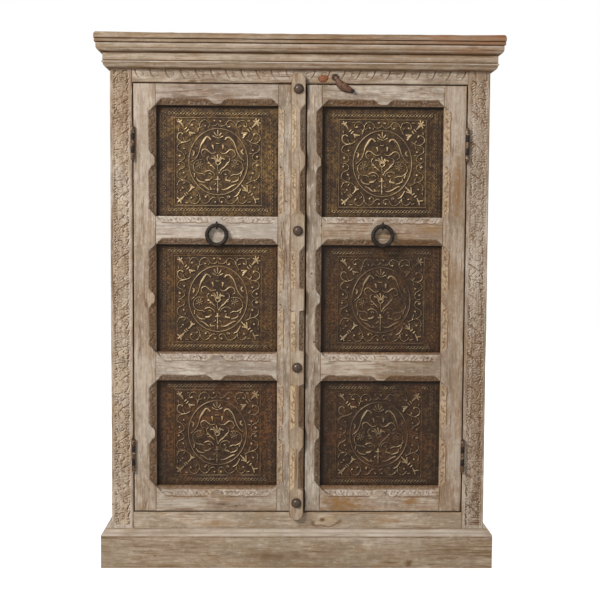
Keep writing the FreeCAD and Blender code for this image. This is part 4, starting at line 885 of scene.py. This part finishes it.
# the drawing on a panel, in mm from its middle: strokes as (start half width, end half width, points), then
# the round drops and the rosettes as (across, up, radius)
strokes = (
    (1.0, 0.9, ((-60, 84), (-64, 83), (-66, 87), (-64, 92), (-60, 95), (-54, 96), (-49, 93), (-45, 89),
    (-43, 84), (-45, 76), (-48, 67))), (0.8, 1.1, ((-71, 94), (-66, 95))),
    (0.7, 0.9, ((-52, 80), (-48, 78), (-47, 73))), (0.9, 0.9, ((-43, 84), (-41, 90), (-37, 94), (-31, 96),
    (-25, 94), (-21, 89), (-18, 84), (-12, 82), (-5, 84), (-2, 88))),
    (0.8, 1.0, ((-23, 79), (-20, 84), (-20, 88))), (0.8, 0.8, ((-44, 78), (-37, 80))), (0.9, 0.9, ((0, 87),
    (2, 83), (8, 82), (15, 84), (19, 89), (25, 95), (31, 94), (37, 91), (40, 85), (42, 79), (45, 74),
    (48, 67))), (0.8, 1.1, ((19, 87), (20, 83), (22, 80), (26, 80))), (1.0, 0.9, ((60, 82), (64, 80),
    (66, 84), (65, 89), (61, 94), (55, 95), (47, 93), (43, 88), (41, 82))),
    (0.8, 1.0, ((46, 79), (52, 82))), (0.8, 1.2, ((67, 94), (73, 94))), (1.0, 1.8, ((2, 95), (5, 93))),
    (5.2, 1.2, ((-88, 90), (-84, 86), (-80, 79))), (1.4, 2.0, ((-88, 90), (-94, 92))),
    (1.4, 2.0, ((-88, 90), (-91, 96))), (1.4, 1.8, ((-88, 90), (-84, 95))),
    (1.6, 1.6, ((-77, 74), (-73, 78))), (1.6, 1.6, ((-73, 69), (-68, 74))),
    (1.4, 2.0, ((-67, 68), (-64, 60))), (1.4, 2.0, ((-67, 68), (-54, 65))),
    (2.0, 2.4, ((-66, 67), (-60, 64))), (5.8, 1.2, ((89, 91), (85, 86), (78, 79))),
    (1.6, 2.2, ((89, 91), (83, 94))), (1.6, 2.2, ((89, 91), (87, 98))), (1.6, 2.2, ((89, 91), (94, 97))),
    (1.6, 2.2, ((89, 91), (97, 89))), (1.6, 2.2, ((89, 91), (93, 83))), (1.6, 1.6, ((73, 79), (77, 74))),
    (1.6, 1.6, ((68, 75), (72, 70))), (1.4, 2.2, ((67, 67), (55, 66))), (1.4, 2.2, ((67, 67), (57, 55))),
    (2.2, 3.4, ((66, 66), (59, 61))), (5.2, 1.4, ((-88, -89), (-83, -85), (-78, -79))),
    (1.6, 2.2, ((-88, -89), (-94, -84))), (1.6, 2.2, ((-88, -89), (-93, -93))),
    (1.6, 2.2, ((-88, -89), (-86, -95))), (1.5, 1.5, ((-78, -74), (-74, -78))),
    (1.5, 1.5, ((-74, -71), (-70, -75))), (1.2, 1.6, ((-69, -70), (-64, -65))),
    (2.2, 3.2, ((-64, -65), (-60, -58))), (1.6, 1.8, ((-62, -62), (-63, -53))),
    (1.6, 1.8, ((-62, -62), (-55, -59))), (2.2, 3.6, ((67, -68), (61, -60))),
    (1.6, 2.0, ((68, -69), (55, -54))), (1.6, 2.0, ((68, -69), (67, -55))),
    (1.4, 1.8, ((67, -68), (57, -65))), (1.5, 1.5, ((70, -72), (75, -68))),
    (1.5, 1.5, ((76, -77), (80, -73))), (1.3, 2.6, ((81, -79), (85, -87))),
    (1.6, 2.0, ((85, -86), (94, -85))), (1.6, 2.0, ((85, -86), (87, -94))), (1.6, 1.0, ((-82, 63),
    (-86, 66), (-91, 65), (-94, 60), (-94, 54), (-90, 48), (-83, 45), (-75, 45), (-68, 48), (-64, 51))),
    (0.8, 1.0, ((-81, 56), (-79, 50), (-75, 46))), (1.2, 1.0, ((-92, 75), (-91, 70))),
    (0.9, 0.9, ((-78, 44), (-88, 42), (-93, 37), (-95, 30), (-91, 25), (-84, 22), (-81, 18), (-78, 13),
    (-79, 7), (-84, 3), (-90, 5))), (0.7, 1.0, ((-78, 20), (-74, 17))), (0.9, 0.9, ((-92, -2), (-87, 0),
    (-81, -3), (-78, -8), (-79, -13), (-85, -17), (-91, -20), (-94, -25), (-95, -32), (-91, -38),
    (-83, -42), (-74, -44), (-65, -50))), (0.7, 1.0, ((-76, -33), (-77, -38))),
    (0.9, 0.9, ((-80, -43), (-89, -44), (-93, -49), (-95, -55))), (0.8, 1.1, ((-80, -51), (-76, -46))),
    (1.0, 0.8, ((-94, -66), (-93, -73))), (0.8, 0.9, ((-89, -68), (-85, -65))), (1.2, 1.0, ((81, 60),
    (83, 65), (89, 65), (95, 61), (97, 55), (95, 49), (89, 44), (81, 43), (73, 46), (66, 51))),
    (1.0, 1.0, ((78, 53), (77, 50), (73, 47))), (1.0, 1.2, ((94, 73), (94, 68))), (0.9, 0.9, ((82, 43),
    (89, 41), (94, 37), (96, 30), (92, 24), (86, 21), (81, 17), (79, 11), (81, 5), (87, 2), (93, 3))),
    (0.9, 0.7, ((76, 41), (77, 35))), (0.8, 0.9, ((73, 19), (78, 19))), (0.9, 0.9, ((93, -9), (90, -3),
    (84, -2), (80, -6), (79, -11), (82, -17), (88, -20), (93, -24), (95, -30), (92, -37), (85, -42),
    (75, -45), (64, -51))), (0.9, 1.0, ((74, -44), (77, -34))),
    (0.9, 0.9, ((83, -43), (90, -46), (94, -51), (95, -57), (93, -63))), (0.9, 1.1, ((94, -66), (94, -71))),
    (0.9, 0.9, ((-62, -81), (-65, -87), (-64, -92), (-60, -96), (-54, -97), (-48, -95), (-44, -89),
    (-42, -83), (-44, -75), (-50, -66))), (0.8, 1.0, ((-53, -80), (-49, -79), (-48, -76))),
    (1.1, 0.8, ((-75, -95), (-69, -95))), (0.9, 0.9, ((-42, -83), (-40, -89), (-35, -94), (-30, -96),
    (-23, -93), (-19, -88), (-15, -84), (-10, -82), (-5, -84))),
    (0.9, 0.9, ((-29, -79), (-26, -77), (-22, -78), (-20, -82), (-20, -88))), (0.9, 0.9, ((4, -92),
    (3, -87), (6, -83), (12, -82), (17, -86), (19, -91), (24, -96), (31, -96), (38, -92), (43, -86),
    (46, -80))), (0.9, 0.9, ((26, -79), (23, -79), (21, -82), (24, -85))),
    (1.3, 1.8, ((52, -63), (48, -71), (44, -77))), (1.8, 0.9, ((44, -77), (36, -81))),
    (0.9, 0.9, ((46, -83), (46, -89), (50, -94), (57, -96), (63, -92), (66, -88))),
    (0.9, 1.1, ((49, -77), (52, -80))), (1.0, 1.4, ((68, -93), (75, -92))),
    (2.0, 2.4, ((-18, 51), (-22, 56), (-27, 57), (-30, 54))), (2.6, 3.6, ((-29, 55), (-32, 51), (-35, 46))),
    (3.6, 1.1, ((-35, 46), (-40, 38), (-43, 28))),
    (1.1, 0.9, ((-43, 28), (-46, 18), (-51, 9), (-57, 3), (-62, -1))),
    (2.0, 2.6, ((16, 51), (19, 55), (25, 56), (29, 53))), (2.6, 1.6, ((29, 53), (35, 46), (40, 35))),
    (1.6, 0.9, ((40, 35), (44, 22), (49, 13), (55, 6), (60, 2))),
    (0.7, 0.7, ((27, 50), (32, 43), (38, 33))), (1.0, 2.8, ((-60, 25), (-56, 23), (-56, 19))),
    (2.8, 1.4, ((-56, 19), (-58, 14))), (1.2, 2.4, ((57, 28), (54, 25), (54, 22))),
    (2.4, 1.6, ((54, 22), (56, 19), (59, 18))), (3.0, 2.4, ((-13, 37), (-12, 34))),
    (2.4, 0.8, ((-12, 34), (-11, 28))), (3.0, 2.4, ((11, 37), (11, 34))), (2.4, 0.8, ((11, 34), (10, 28))),
    (0.8, 1.8, ((-32, 11), (-37, 15), (-39, 22), (-36, 27), (-30, 29), (-26, 27))),
    (1.8, 0.9, ((-26, 27), (-20, 22), (-14, 19), (-5, 21))),
    (0.8, 1.8, ((33, 10), (39, 14), (39, 19), (36, 25), (30, 28), (24, 26))),
    (1.8, 0.9, ((24, 26), (17, 20), (9, 19), (4, 23))), (2.2, 1.4, ((-2, 15), (-1, 9), (-1, 1))),
    (1.8, 1.2, ((-9, 12), (-5, 7), (-3, 0))), (1.9, 1.2, ((6, 11), (3, 6), (1, 0))),
    (2.2, 1.0, ((-15, 8), (-9, 7), (-5, -1))), (2.2, 1.0, ((14, 6), (8, 8), (3, -1))),
    (1.4, 1.4, ((-6, -1), (-4, -5), (-1, -7), (3, -5), (6, -1))),
    (1.0, 0.9, ((-1, -7), (-1, -17), (1, -26))), (0.9, 1.0, ((-21, 13), (-25, 9), (-25, 3), (-22, -2))),
    (1.2, 1.6, ((-22, -2), (-16, -8), (-11, -13))), (1.6, 0.8, ((-11, -13), (-6, -18))),
    (0.9, 1.1, ((-26, -3), (-19, -4))), (0.9, 1.1, ((-23, -10), (-16, -9))),
    (1.0, 1.2, ((-24, 1), (-21, -2))), (0.9, 1.2, ((21, 13), (26, 9), (26, 2), (21, -3))),
    (1.6, 1.8, ((21, -3), (15, -11), (9, -16))), (1.6, 1.0, ((9, -16), (5, -20), (2, -27))),
    (0.9, 1.2, ((25, -1), (20, -4))), (0.9, 1.2, ((24, -6), (17, -8))),
    (0.6, 0.8, ((-31, 3), (-42, 4), (-52, 1), (-57, -6))),
    (0.9, 1.2, ((-57, -6), (-57, -16), (-52, -24), (-44, -27), (-37, -27))),
    (1.4, 1.0, ((-37, -27), (-31, -31))), (0.8, 0.9, ((30, 2), (39, 4), (50, 1), (56, -6), (58, -17))),
    (1.1, 1.6, ((58, -17), (53, -24), (44, -29), (36, -29))), (1.4, 1.0, ((36, -29), (28, -33))),
    (1.2, 1.8, ((-31, -24), (-26, -21), (-20, -20))),
    (1.4, 0.9, ((-20, -20), (-14, -23), (-10, -27), (-8, -31))),
    (0.8, 1.2, ((-23, -28), (-18, -27), (-16, -30))),
    (0.9, 1.2, ((6, -30), (8, -24), (14, -20), (22, -19), (29, -23))), (1.8, 2.0, ((16, -29), (18, -29))),
    (1.4, 1.6, ((-54, -27), (-55, -35))), (1.2, 1.6, ((54, -26), (51, -33))),
    (1.0, 1.9, ((-50, -36), (-48, -41), (-44, -45))), (1.9, 1.2, ((-44, -45), (-37, -47), (-30, -47))),
    (2.8, 3.0, ((-28, -43), (-21, -42))), (1.2, 0.8, ((-20, -41), (-15, -37))),
    (1.0, 1.9, ((47, -35), (46, -41), (40, -45))), (1.9, 1.4, ((40, -45), (31, -47))),
    (3.0, 2.6, ((18, -42), (27, -44))), (0.8, 1.2, ((21, -33), (18, -39))),
    (1.1, 2.0, ((-39, -53), (-32, -56), (-26, -61))), (2.0, 1.2, ((-26, -61), (-22, -64))),
    (1.8, 1.6, ((-18, -60), (-16, -63))), (1.0, 1.0, ((-22, -64), (-7, -63))),
    (1.6, 2.1, ((40, -52), (31, -56), (23, -61))), (2.1, 1.4, ((23, -61), (15, -64), (9, -64))),
    (2.6, 2.2, ((-1, -35), (-1, -41))), (1.6, 1.4, ((-6, -41), (4, -40))),
    (1.4, 1.4, ((-1, -41), (-1, -52))), (2.2, 2.2, ((-1, -53), (-1, -56))),
    (1.2, 1.2, ((-1, -56), (-1, -71))), (2.4, 2.2, ((-1, -63), (-1, -66))),
    (1.0, 1.3, ((-10, -54), (-5, -50))), (1.0, 1.3, ((9, -55), (4, -51))), (1.9, 1.1, ((-1, 72), (-1, 60))),
    (1.8, 1.0, ((-9, 67), (-3, 58))), (1.8, 0.9, ((-12, 59), (-4, 55))), (1.8, 1.0, ((7, 66), (1, 58))),
    (1.8, 0.9, ((11, 59), (3, 55))), (1.4, 1.4, ((-2, 55), (1, 54))), (1.3, 1.3, ((-5, 42), (2, 42))),
)
drops = (
    (-60, 84, 3.2), (-30, 82, 2.7), (-9, 94, 2.9), (5, 93, 2.8), (26, 81, 2.9), (60, 82, 2.7),
    (-83, 64, 2.6), (-79, 30, 2.6), (-89, 13, 3.2), (-91, -7, 2.7), (-80, -26, 2.8), (-82, -61, 2.6),
    (83, 63, 2.8), (80, 27, 3.0), (90, 12, 3.2), (89, -8, 3.2), (80, -26, 3.2), (84, -59, 3.0),
    (-62, -83, 2.6), (-29, -81, 3.0), (-7, -93, 2.8), (8, -93, 3.2), (26, -81, 2.8), (61, -82, 2.8),
    (-18, 52, 2.6), (-13, 37, 2.9), (11, 37, 2.9),
)
rosettes = ((-43, -7, 7.4), (39, -7, 8.0))


def drawing(x, z):
    """The whole drawing on one panel as heights from 0 to 1, for places in mm from its middle."""
    field = np.zeros((len(z), len(x)))
    turn = np.linspace(0, math.tau, 97)
    work(field, x, z, np.column_stack([68 * np.cos(turn), 76.3 * np.sin(turn)]), 1.3, 1.3, 0.75)
    for reach, fat, lift in ((101, 1.1, 0.6), (104.5, 0.7, 0.35)):
        corners = reach * np.array([(-1, -1), (1, -1), (1, 1), (-1, 1), (-1, -1)])
        work(field, x, z, corners, fat, fat, lift)
    for start, end, points in strokes:
        lift = 0.75 if start > 4 else 1.0
        work(field, x, z, smooth_line(points, 7), 0.8 * start + 0.3, 0.8 * end + 0.3, lift)
    for px, pz, size in drops:
        work(field, x, z, np.array([[px, pz], [px + 0.4, pz]]), 0.85 * size, 0.85 * size)
    for px, pz, size in rosettes:
        for petal in range(7):
            a = petal * math.tau / 7 + 0.2
            line = np.array([(px + r * math.cos(a), pz + r * math.sin(a)) for r in (1.5, size)])
            work(field, x, z, line, 0.9, 1.5, 0.65)
    # the borders: rows of rings, bows and beads at the sides, and of rings and beads above and below
    hoop, bow = np.linspace(0, math.tau, 13), np.linspace(-1.4, 1.4, 7)
    for way in (-1, 1):
        for step in range(27):
            pz = -113 + step * 8.7
            ring = np.column_stack([124 * way + 2.8 * np.cos(hoop), pz + 2.9 * np.sin(hoop)])
            work(field, x, z, ring, 0.9, 0.9, 0.5)
            bent = np.column_stack([133 * way + 2 * np.cos(bow), pz + 4.2 * np.sin(bow)])
            work(field, x, z, bent, 0.8, 0.8, 0.35)
            work(field, x, z, np.array([[112.5 * way, pz - 1], [112.5 * way, pz + 1]]), 1.1, 1.1, 0.35)
        for step in range(31):
            px = -112.5 + step * 7.5
            ring = np.column_stack([px + 2.9 * np.cos(hoop), 111 * way + 3.0 * np.sin(hoop)])
            work(field, x, z, ring, 1.0, 1.0, 0.7)
            work(field, x, z, np.array([[px + 3.7, 117 * way], [px + 4.0, 117 * way]]), 1.5, 1.5, 0.5)
            work(field, x, z, np.array([[px, 120.5 * way], [px + 0.3, 120.5 * way]]), 1.4, 1.4, 0.4)
    return field


# each sheet as (how dark, its tarnish, how far its drawing sits from the middle of its opening)
sheets = {"left_upper": (0.0, "8B6C3E", 2.0, -1.3), "left_middle": (0.08, "7A5428", 2.0, -1.8),
          "left_lower": (0.26, "80512A", 1.0, -0.3), "right_upper": (0.07, "7A5E33", 0.0, -3.3),
          "right_middle": (0.36, "7A5028", 0.0, -3.3), "right_lower": (0.42, "7C4E2A", -2.0, -3.8)}
for at, (name, (dark, hue, off_x, off_z)) in enumerate(sheets.items(), 301):
    node, seed = name + "_brass", 7 * at
    left, right, front, back, low, high = sides(node)
    x, z = ruled(left, right, 1.0), ruled(low, high, 1.0)
    x2, z2 = x[None, :], z[:, None]
    middle_x, middle_z = (left + right) / 2 + off_x, (low + high) / 2 + off_z
    drawn = drawing(x - middle_x, z - middle_z)
    drawn = drawn * held(0.95 - 0.3 * dark + (0.3 + 0.35 * dark) * uneven(x2, z2, 30, seed + 2))
    field = 2.3 * drawn + 0.7 * uneven(x2, z2, 45, seed + 3) + 0.25 * uneven(x2, z2, 9, seed + 4)
    margin = np.minimum(np.minimum(x2 - left, right - x2), np.minimum(z2 - low, high - z2))
    y = front - field * held((margin - 8) / 4)
    # painted shade along each edge of the opening, with some tarnish, as a narrow dark band and a wide ragged
    # one, widest and darkest at the top and left, which the frame shades
    damp = 2 * uneven(x2, z2, 14, seed + 5)
    grime_and_shade = np.zeros(y.shape)
    for inward, dense, narrow, blur, thin, wide, fade in (
            (high - z2 - tongue, 0.95, 9.5, 4.5, 0.5, 18, 11), (x2 - left - tongue, 0.85, 14, 6, 0.6, 28, 18),
            (right - x2 - tongue, 0.6, 4, 3, 0.45, 14, 10), (z2 - low - tongue, 0.6, 3, 3, 0.35, 11, 8)):
        grime_and_shade = np.maximum(grime_and_shade, dense * held((narrow - inward) / blur))
        grime_and_shade = np.maximum(grime_and_shade, thin * held((wide + damp - inward) / fade))
    # the polish never reaches the hollows beside the raised lines, which keep their patina, and a painted
    # shadow lies under and to the right of each line
    beside = sum(np.roll(drawn, step, axis) for axis in (0, 1) for step in (-2, 2)) / 4
    grime_and_shade = np.maximum(grime_and_shade, 0.95 * np.clip(1.8 * beside - 1.6 * drawn, 0, 0.9))
    grime_and_shade = np.maximum(grime_and_shade, np.clip(1.2 * np.roll(drawn, (-2, 2), (0, 1)) - 1.5 * drawn, 0, 0.8))
    # the middle is darker than the borders, which hands and cloths reach
    off = np.maximum(np.abs(x2 - middle_x), np.abs(z2 - middle_z))
    dusky = (0.28 + 0.15 * uneven(x2, z2, 24, seed + 6)) * held((106 - off) / 8)
    grime_and_shade = np.maximum(grime_and_shade, dusky * (1 - drawn))
    sheet = relief(node + "_embossed", x, y, z2, back, {"rise": drawn, "grime_and_shade": grime_and_shade},
                   old_brass("patinated_embossed_brass_" + node, seed, dark, hue))
    set_in(sheet, name.split("_")[0] + "_door", "embossed_brass", node)

# The cover strip over the meeting edges: one hardwood lath nailed to the left door, round at both ends,
# with carved chamfers that leave a narrow ridge between smooth swellings under the studs.
left, right, front, back, low, high = sides("astragal")
middle, half_width = (left + right) / 2, (right - left) / 2
u, z = ruled(-half_width, half_width, 1.0), ruled(low, high, 1.0)
z2 = z[:, None]
end = np.minimum(z2 - low, high - z2)
round_end = held((half_width - end) / half_width)
x = middle + u[None, :] * np.sqrt(np.clip(1 - round_end ** 2, 0.0004, 1))
# how much of the width is left uncut, from 0 for the ridge alone to 1, at heights from the foot up
uncut = ((110, 1), (172, 1), (182, 0.9), (187, 0.55), (190, 0), (268, 0), (276, 0.12), (287, 0.7), (297, 1),
         (322, 1), (328, 0.8), (334, 0), (430, 0), (436, 1), (509, 1), (513, 0), (605, 0), (607, 1), (655, 1),
         (657, 0), (742, 0), (749, 0.4), (757, 1), (820, 1), (829, 0.5), (838, 0), (919, 0), (927, 0.2),
         (937, 0.75), (947, 1), (956, 1), (966, 0.75), (976, 0.2), (985, 0), (1066, 0), (1071, 0.25),
         (1078, 0.8), (1085, 1), (1160, 1))
wide, deep = half_width - 4.2, 8.0
edge = half_width - np.abs(u)[None, :]
whole = np.interp(z2 + 1.0 * uneven(z2, z2 * 0, 7, 82), *zip(*uncut))
cut_wide = wide * (1 - whole)
inside = held((cut_wide - edge) / wide) * (cut_wide > 0.4)
cut = held(cut_wide - edge)
lit = (u < 0)[None, :]
curl = held(1 - np.abs(uneven(z2 + 0.5 * edge, 1.3 * edge, 6, 83)) / 0.28)
tick = curl * held((edge - 1) / 3) * cut
rough = uneven(x, z2, 3.2, 84)
rim = np.clip(2.2 - np.minimum(edge, end), 0, 2.2)
fall = np.maximum(deep * inside * wide / (wide - 2) + 1.5 * tick + 0.4 * rough * cut, rim ** 2 * 0.35)
y = front + fall + 0.2 * uneven(x, z2, 30, 81)
ridge = held(1 - np.abs(u)[None, :] / 4.5) * (whole < 0.5)
patchy = held(0.5 + 0.9 * uneven(x * 0, z2, 60, 85))
# the left slope, which faces the lamp, is painted nearly clean and golden, and the right slope brown as its
# shade
dirt_and_shade = np.where(lit, 0.02 + 0.75 * tick, 0.50 + 0.35 * tick + 0.2 * rough) * cut
outlined = 0.7 * held(1 - np.abs(cut_wide - edge) / 1.3) * (cut_wide > 2)
dirt_and_shade = np.clip(dirt_and_shade, 0, 0.9)
for brown in (0.75 * held(1.3 - edge / 1.6), outlined, 0.55 * ridge * patchy):
    dirt_and_shade = np.maximum(dirt_and_shade, brown)
gold = np.where(lit, 0.38 + 0.3 * (z2 < 450), 0.0) * cut * (1 - tick)
marks = {"dirt_and_shade": dirt_and_shade, "gold": np.maximum(gold, 0.1 * (1 - cut)),
         "wear": held(1 - edge / 3) + 0.7 * ridge * patchy,
         "smoke_and_shadow": 0.16 * held((z2 - 500) / 200)}
strip = relief("astragal_carved", x, y, z2, back, marks, limewash("limewashed_cover_strip", 2, 81, 0.0, 0.24))
set_in(strip, "left_door", "limewashed_wood", "astragal")


# The studs on the strip: forged iron domes with a thin hammered rim, brown with age and waxed by hands.
# Each is driven through the strip into the left door.
def black_iron(name, seed, splash=0.0, brown=0.0, gloss=0.0):
    """Forged iron, blackened in the fire and by handling: dark, uneven and half glossy, with some brown
    over it, splashes of limewash where it was painted round, and a gloss where hands have waxed it."""
    material, tree, place = begun(name)
    flat = add(tree, "Mapping", {"Vector": place, "Location": (seed * 11.0, seed * 5.0, seed * 7.0),
               "Scale": [1000.0] * 3})
    # hammer marks 5 mm wide and scale 1.5 mm wide
    mark = add(tree, "TexNoise", {"Vector": flat, "Scale": 1 / 5, "Detail": 3.0})
    scale = add(tree, "TexNoise", {"Vector": flat, "Scale": 1 / 1.5, "Detail": 2.0})
    skin = add(tree, "ValToRGB", {0: mark}, stops=((0.35, "171210"), (0.55, "2A211C"), (0.75, "403026")))
    drip = add(tree, "MapRange", {"Value": mark, "From Min": 0.56, "From Max": 0.62, "To Max": splash})
    rough = add(tree, "MapRange", {"Value": scale, "To Min": 0.4 - 0.15 * gloss,
                "To Max": 0.7 - 0.35 * gloss})
    coat(tree, skin, ((brown, "6E5138"), (drip, "9A8E80")), mark, 0.4, 0.0008,
         {"Metallic": 0.6 * (1 - gloss), "Roughness": rough})
    return material


groups = []
for at in sorted(vertex.co.z * 1000 for vertex in frame["nodes"]["astragal_studs"].data.vertices):
    if not groups or at - groups[-1][-1] > 40:
        groups.append([])
    groups[-1].append(at)
stud_left, stud_right, tip_y = sides("astragal_studs")[:3]
stud_x, stud_half = (stud_left + stud_right) / 2, (stud_right - stud_left) / 2
foot_y, tall = front, front - tip_y
# the dome from its tip to the rim, as shares of the radius and of the height
dome = ((0.0, 1.0), (0.22, 0.985), (0.45, 0.90), (0.65, 0.74), (0.80, 0.50), (0.88, 0.27), (0.90, 0.17),
        (0.99, 0.14), (1.0, 0.05), (1.0, -0.02))
bm = bmesh.new()
for group in groups:
    at = (group[0] + group[-1]) / 2
    chain = [bm.verts.new(((stud_x + r * stud_half) * MM, (foot_y - h * tall) * MM, at * MM))
             for r, h in dome]
    line = [bm.edges.new(pair) for pair in zip(chain, chain[1:])]
    bmesh.ops.spin(bm, geom=chain + line, cent=(stud_x * MM, 0, at * MM), axis=(0, 1, 0), angle=math.tau,
                   steps=28, use_merge=True)
bmesh.ops.remove_doubles(bm, verts=bm.verts, dist=0.00001)
for vertex in bm.verts:
    p = vertex.co * 1000
    vertex.co.y += 0.25 * MM * float(uneven(p.x, p.z, 6, 83)) * (p.y < foot_y - 1.5)
studs = piece_of("studs_forged", bm, black_iron("browned_forged_iron", 4, 0.0, 0.28, 1.0), 55)
set_in(studs, "left_door", "dark_iron", "astragal_studs")

# The hinges: wrought iron butts let into the posts and stiles, with loose pins. The posts' leaves still carry
# the wash that was brushed over them. The rings hang from iron staples clenched through the rails.
iron = black_iron("blackened_forged_iron", 3)
painted = black_iron("blackened_iron_under_old_limewash", 5, 0.85, 0.55)
for node, width in (("frame_hinge_leaves", 0.4), ("hinge_pins", 0.5), ("frame_hinge_screws", 0.2),
                    ("left_hinge_leaves", 0.4), ("right_hinge_leaves", 0.4), ("left_hinge_screws", 0.2),
                    ("right_hinge_screws", 0.2), ("left_ring_staple", 0.3), ("right_ring_staple", 0.3),
                    ("left_ring_pull", 0.3), ("right_ring_pull", 0.3)):
    finish_with(plain_edges(node, width), painted if node.startswith("frame_hinge") else iron)


# The hasp: a thick forged tongue on the right door, turning on a nail, with a ring at its free end that
# reaches over the head rail. Red with rust, its underside painted dark as shade, and dark at the nailed end.
def rusted_iron(name, bright):
    """Forged iron rusted red-brown and polished by fingers: satin on the crown, and nearly black where it is
    marked, which is painted shade underneath and in grooves as well as darkening at the nailed end and ring.
    """
    material, tree, place = begun(name)
    flat = add(tree, "Mapping", {"Vector": place, "Scale": [1000.0] * 3})
    soot_and_shade = add(tree, "Attribute", attribute_name="soot_and_shade").outputs["Fac"]
    # rust blooms 5 mm wide
    bloom = add(tree, "TexNoise", {"Vector": flat, "Scale": 1 / 5, "Detail": 4.0})
    skin = add(tree, "ValToRGB", {0: bloom}, stops=((0.35, "40281A"), (0.52, "5E3F2C"), (0.7, "875F48")))
    coat(tree, skin, ((bright, "A8623C"), (soot_and_shade, "2E1C11")), bloom, 0.4, 0.0005,
         {"Metallic": 0.2, "Roughness": 0.55})
    return material


pivot = [v * 1000 for v in next(j for j in frame["joints"] if j["name"] == "hasp_turn")["pos_m"]]
lean, reach = math.radians(37.7), 51.0
eye_x, eye_y, eye_z = pivot[0] - reach * math.cos(lean), pivot[1], pivot[2] + reach * math.sin(lean)
rest = sides("latch_hasp")[3]
# stations from the ring to the nailed end: along, offset below the line, half width, half thickness
stations = ((5, 1.5, 3.4, 2.6), (9, 3.0, 5.6, 3.6), (15, 4.8, 8.6, 4.6), (22, 5.6, 10.0, 5.4),
            (30, 5.4, 10.0, 5.6), (38, 4.2, 8.8, 5.2), (45, 2.2, 7.2, 4.6), (51, 0.6, 5.4, 3.8),
            (54.5, 0.0, 3.4, 2.8))
bm = bmesh.new()
black = bm.verts.layers.float.new("soot_and_shade")
for along, below, half_wide, thick in stations:
    for vertex in bmesh.ops.create_circle(bm, segments=20, radius=1.0)["verts"]:
        # the underside of the tongue is painted dark as shade, and it darkens towards the nailed end
        vertex[black] = min(1.0, max(0.0, -vertex.co.x - 0.25) * 0.9 + max(0.0, (along - 47) / 7))
        aside, out = vertex.co.x * half_wide - below, vertex.co.y * thick
        vertex.co = Vector((eye_x + along * math.cos(lean) + aside * math.sin(lean), min(eye_y + out, rest),
                            eye_z - along * math.sin(lean) + aside * math.cos(lean))) * MM
bmesh.ops.bridge_loops(bm, edges=list(bm.edges))
wire, ring_radius = bmesh.ops.create_circle(bm, segments=12, radius=2.2 * MM)["verts"], 5.9
for vertex in wire:
    vertex.co = Vector(((eye_x + ring_radius) * MM + vertex.co.x, min(eye_y * MM + vertex.co.y, rest * MM),
                        eye_z * MM))
    vertex[black] = 0.75
edges = list({e for v in wire for e in v.link_edges})
bmesh.ops.spin(bm, geom=wire + edges, cent=(eye_x * MM, 0, eye_z * MM), axis=(0, 1, 0), angle=math.tau,
               steps=28, use_merge=True)
hasp = piece_of("hasp_forged", bm, rusted_iron("rusted_forged_iron", 0.0), 60)
set_in(hasp, "latch", "rusted_iron", "latch_hasp")
finish_with(plain_edges("latch_nail", 0.4), iron)

# The boss beside the hasp's ring: a small forged half round with grooves, driven into the head rail, and
# red with rust like the hasp.
u = np.linspace(-1, 1, 29)
across, up = u[None, :] * np.sqrt(1 - u[:, None] ** 2 / 2), u[:, None] * np.sqrt(1 - u[None, :] ** 2 / 2)
far = across ** 2 + up ** 2
turn = np.arctan2(up, across)
lobe = 1 + 0.06 * np.sin(3 * turn + 0.6) + 0.03 * np.sin(5 * turn)
groove = np.abs(np.sin(math.tau * (0.9 * up - 0.25 * across) + 0.4)) ** 0.5
face = sides("head_rail")[2]
y = face + 0.2 - 4.4 * np.sqrt(held(1 - far)) * (0.7 + 0.3 * groove)
boss_x = 51.5 + lobe * (11.6 * across - 1.0 * up)
boss_z = 1138.4 + lobe * (8.2 * up + 1.5 * across)
# the grooves and the rim are painted dark as shade, and the left side darker
soot_and_shade = held(1.2 - 1.5 * groove + 0.6 * far ** 3 - 0.4 * across)
boss = relief("boss_forged", boss_x, y, boss_z, face + 1.0, {"soot_and_shade": soot_and_shade},
              rusted_iron("bright_rusted_iron", 0.55))
set_in(boss, "carcass", "rusted_iron")
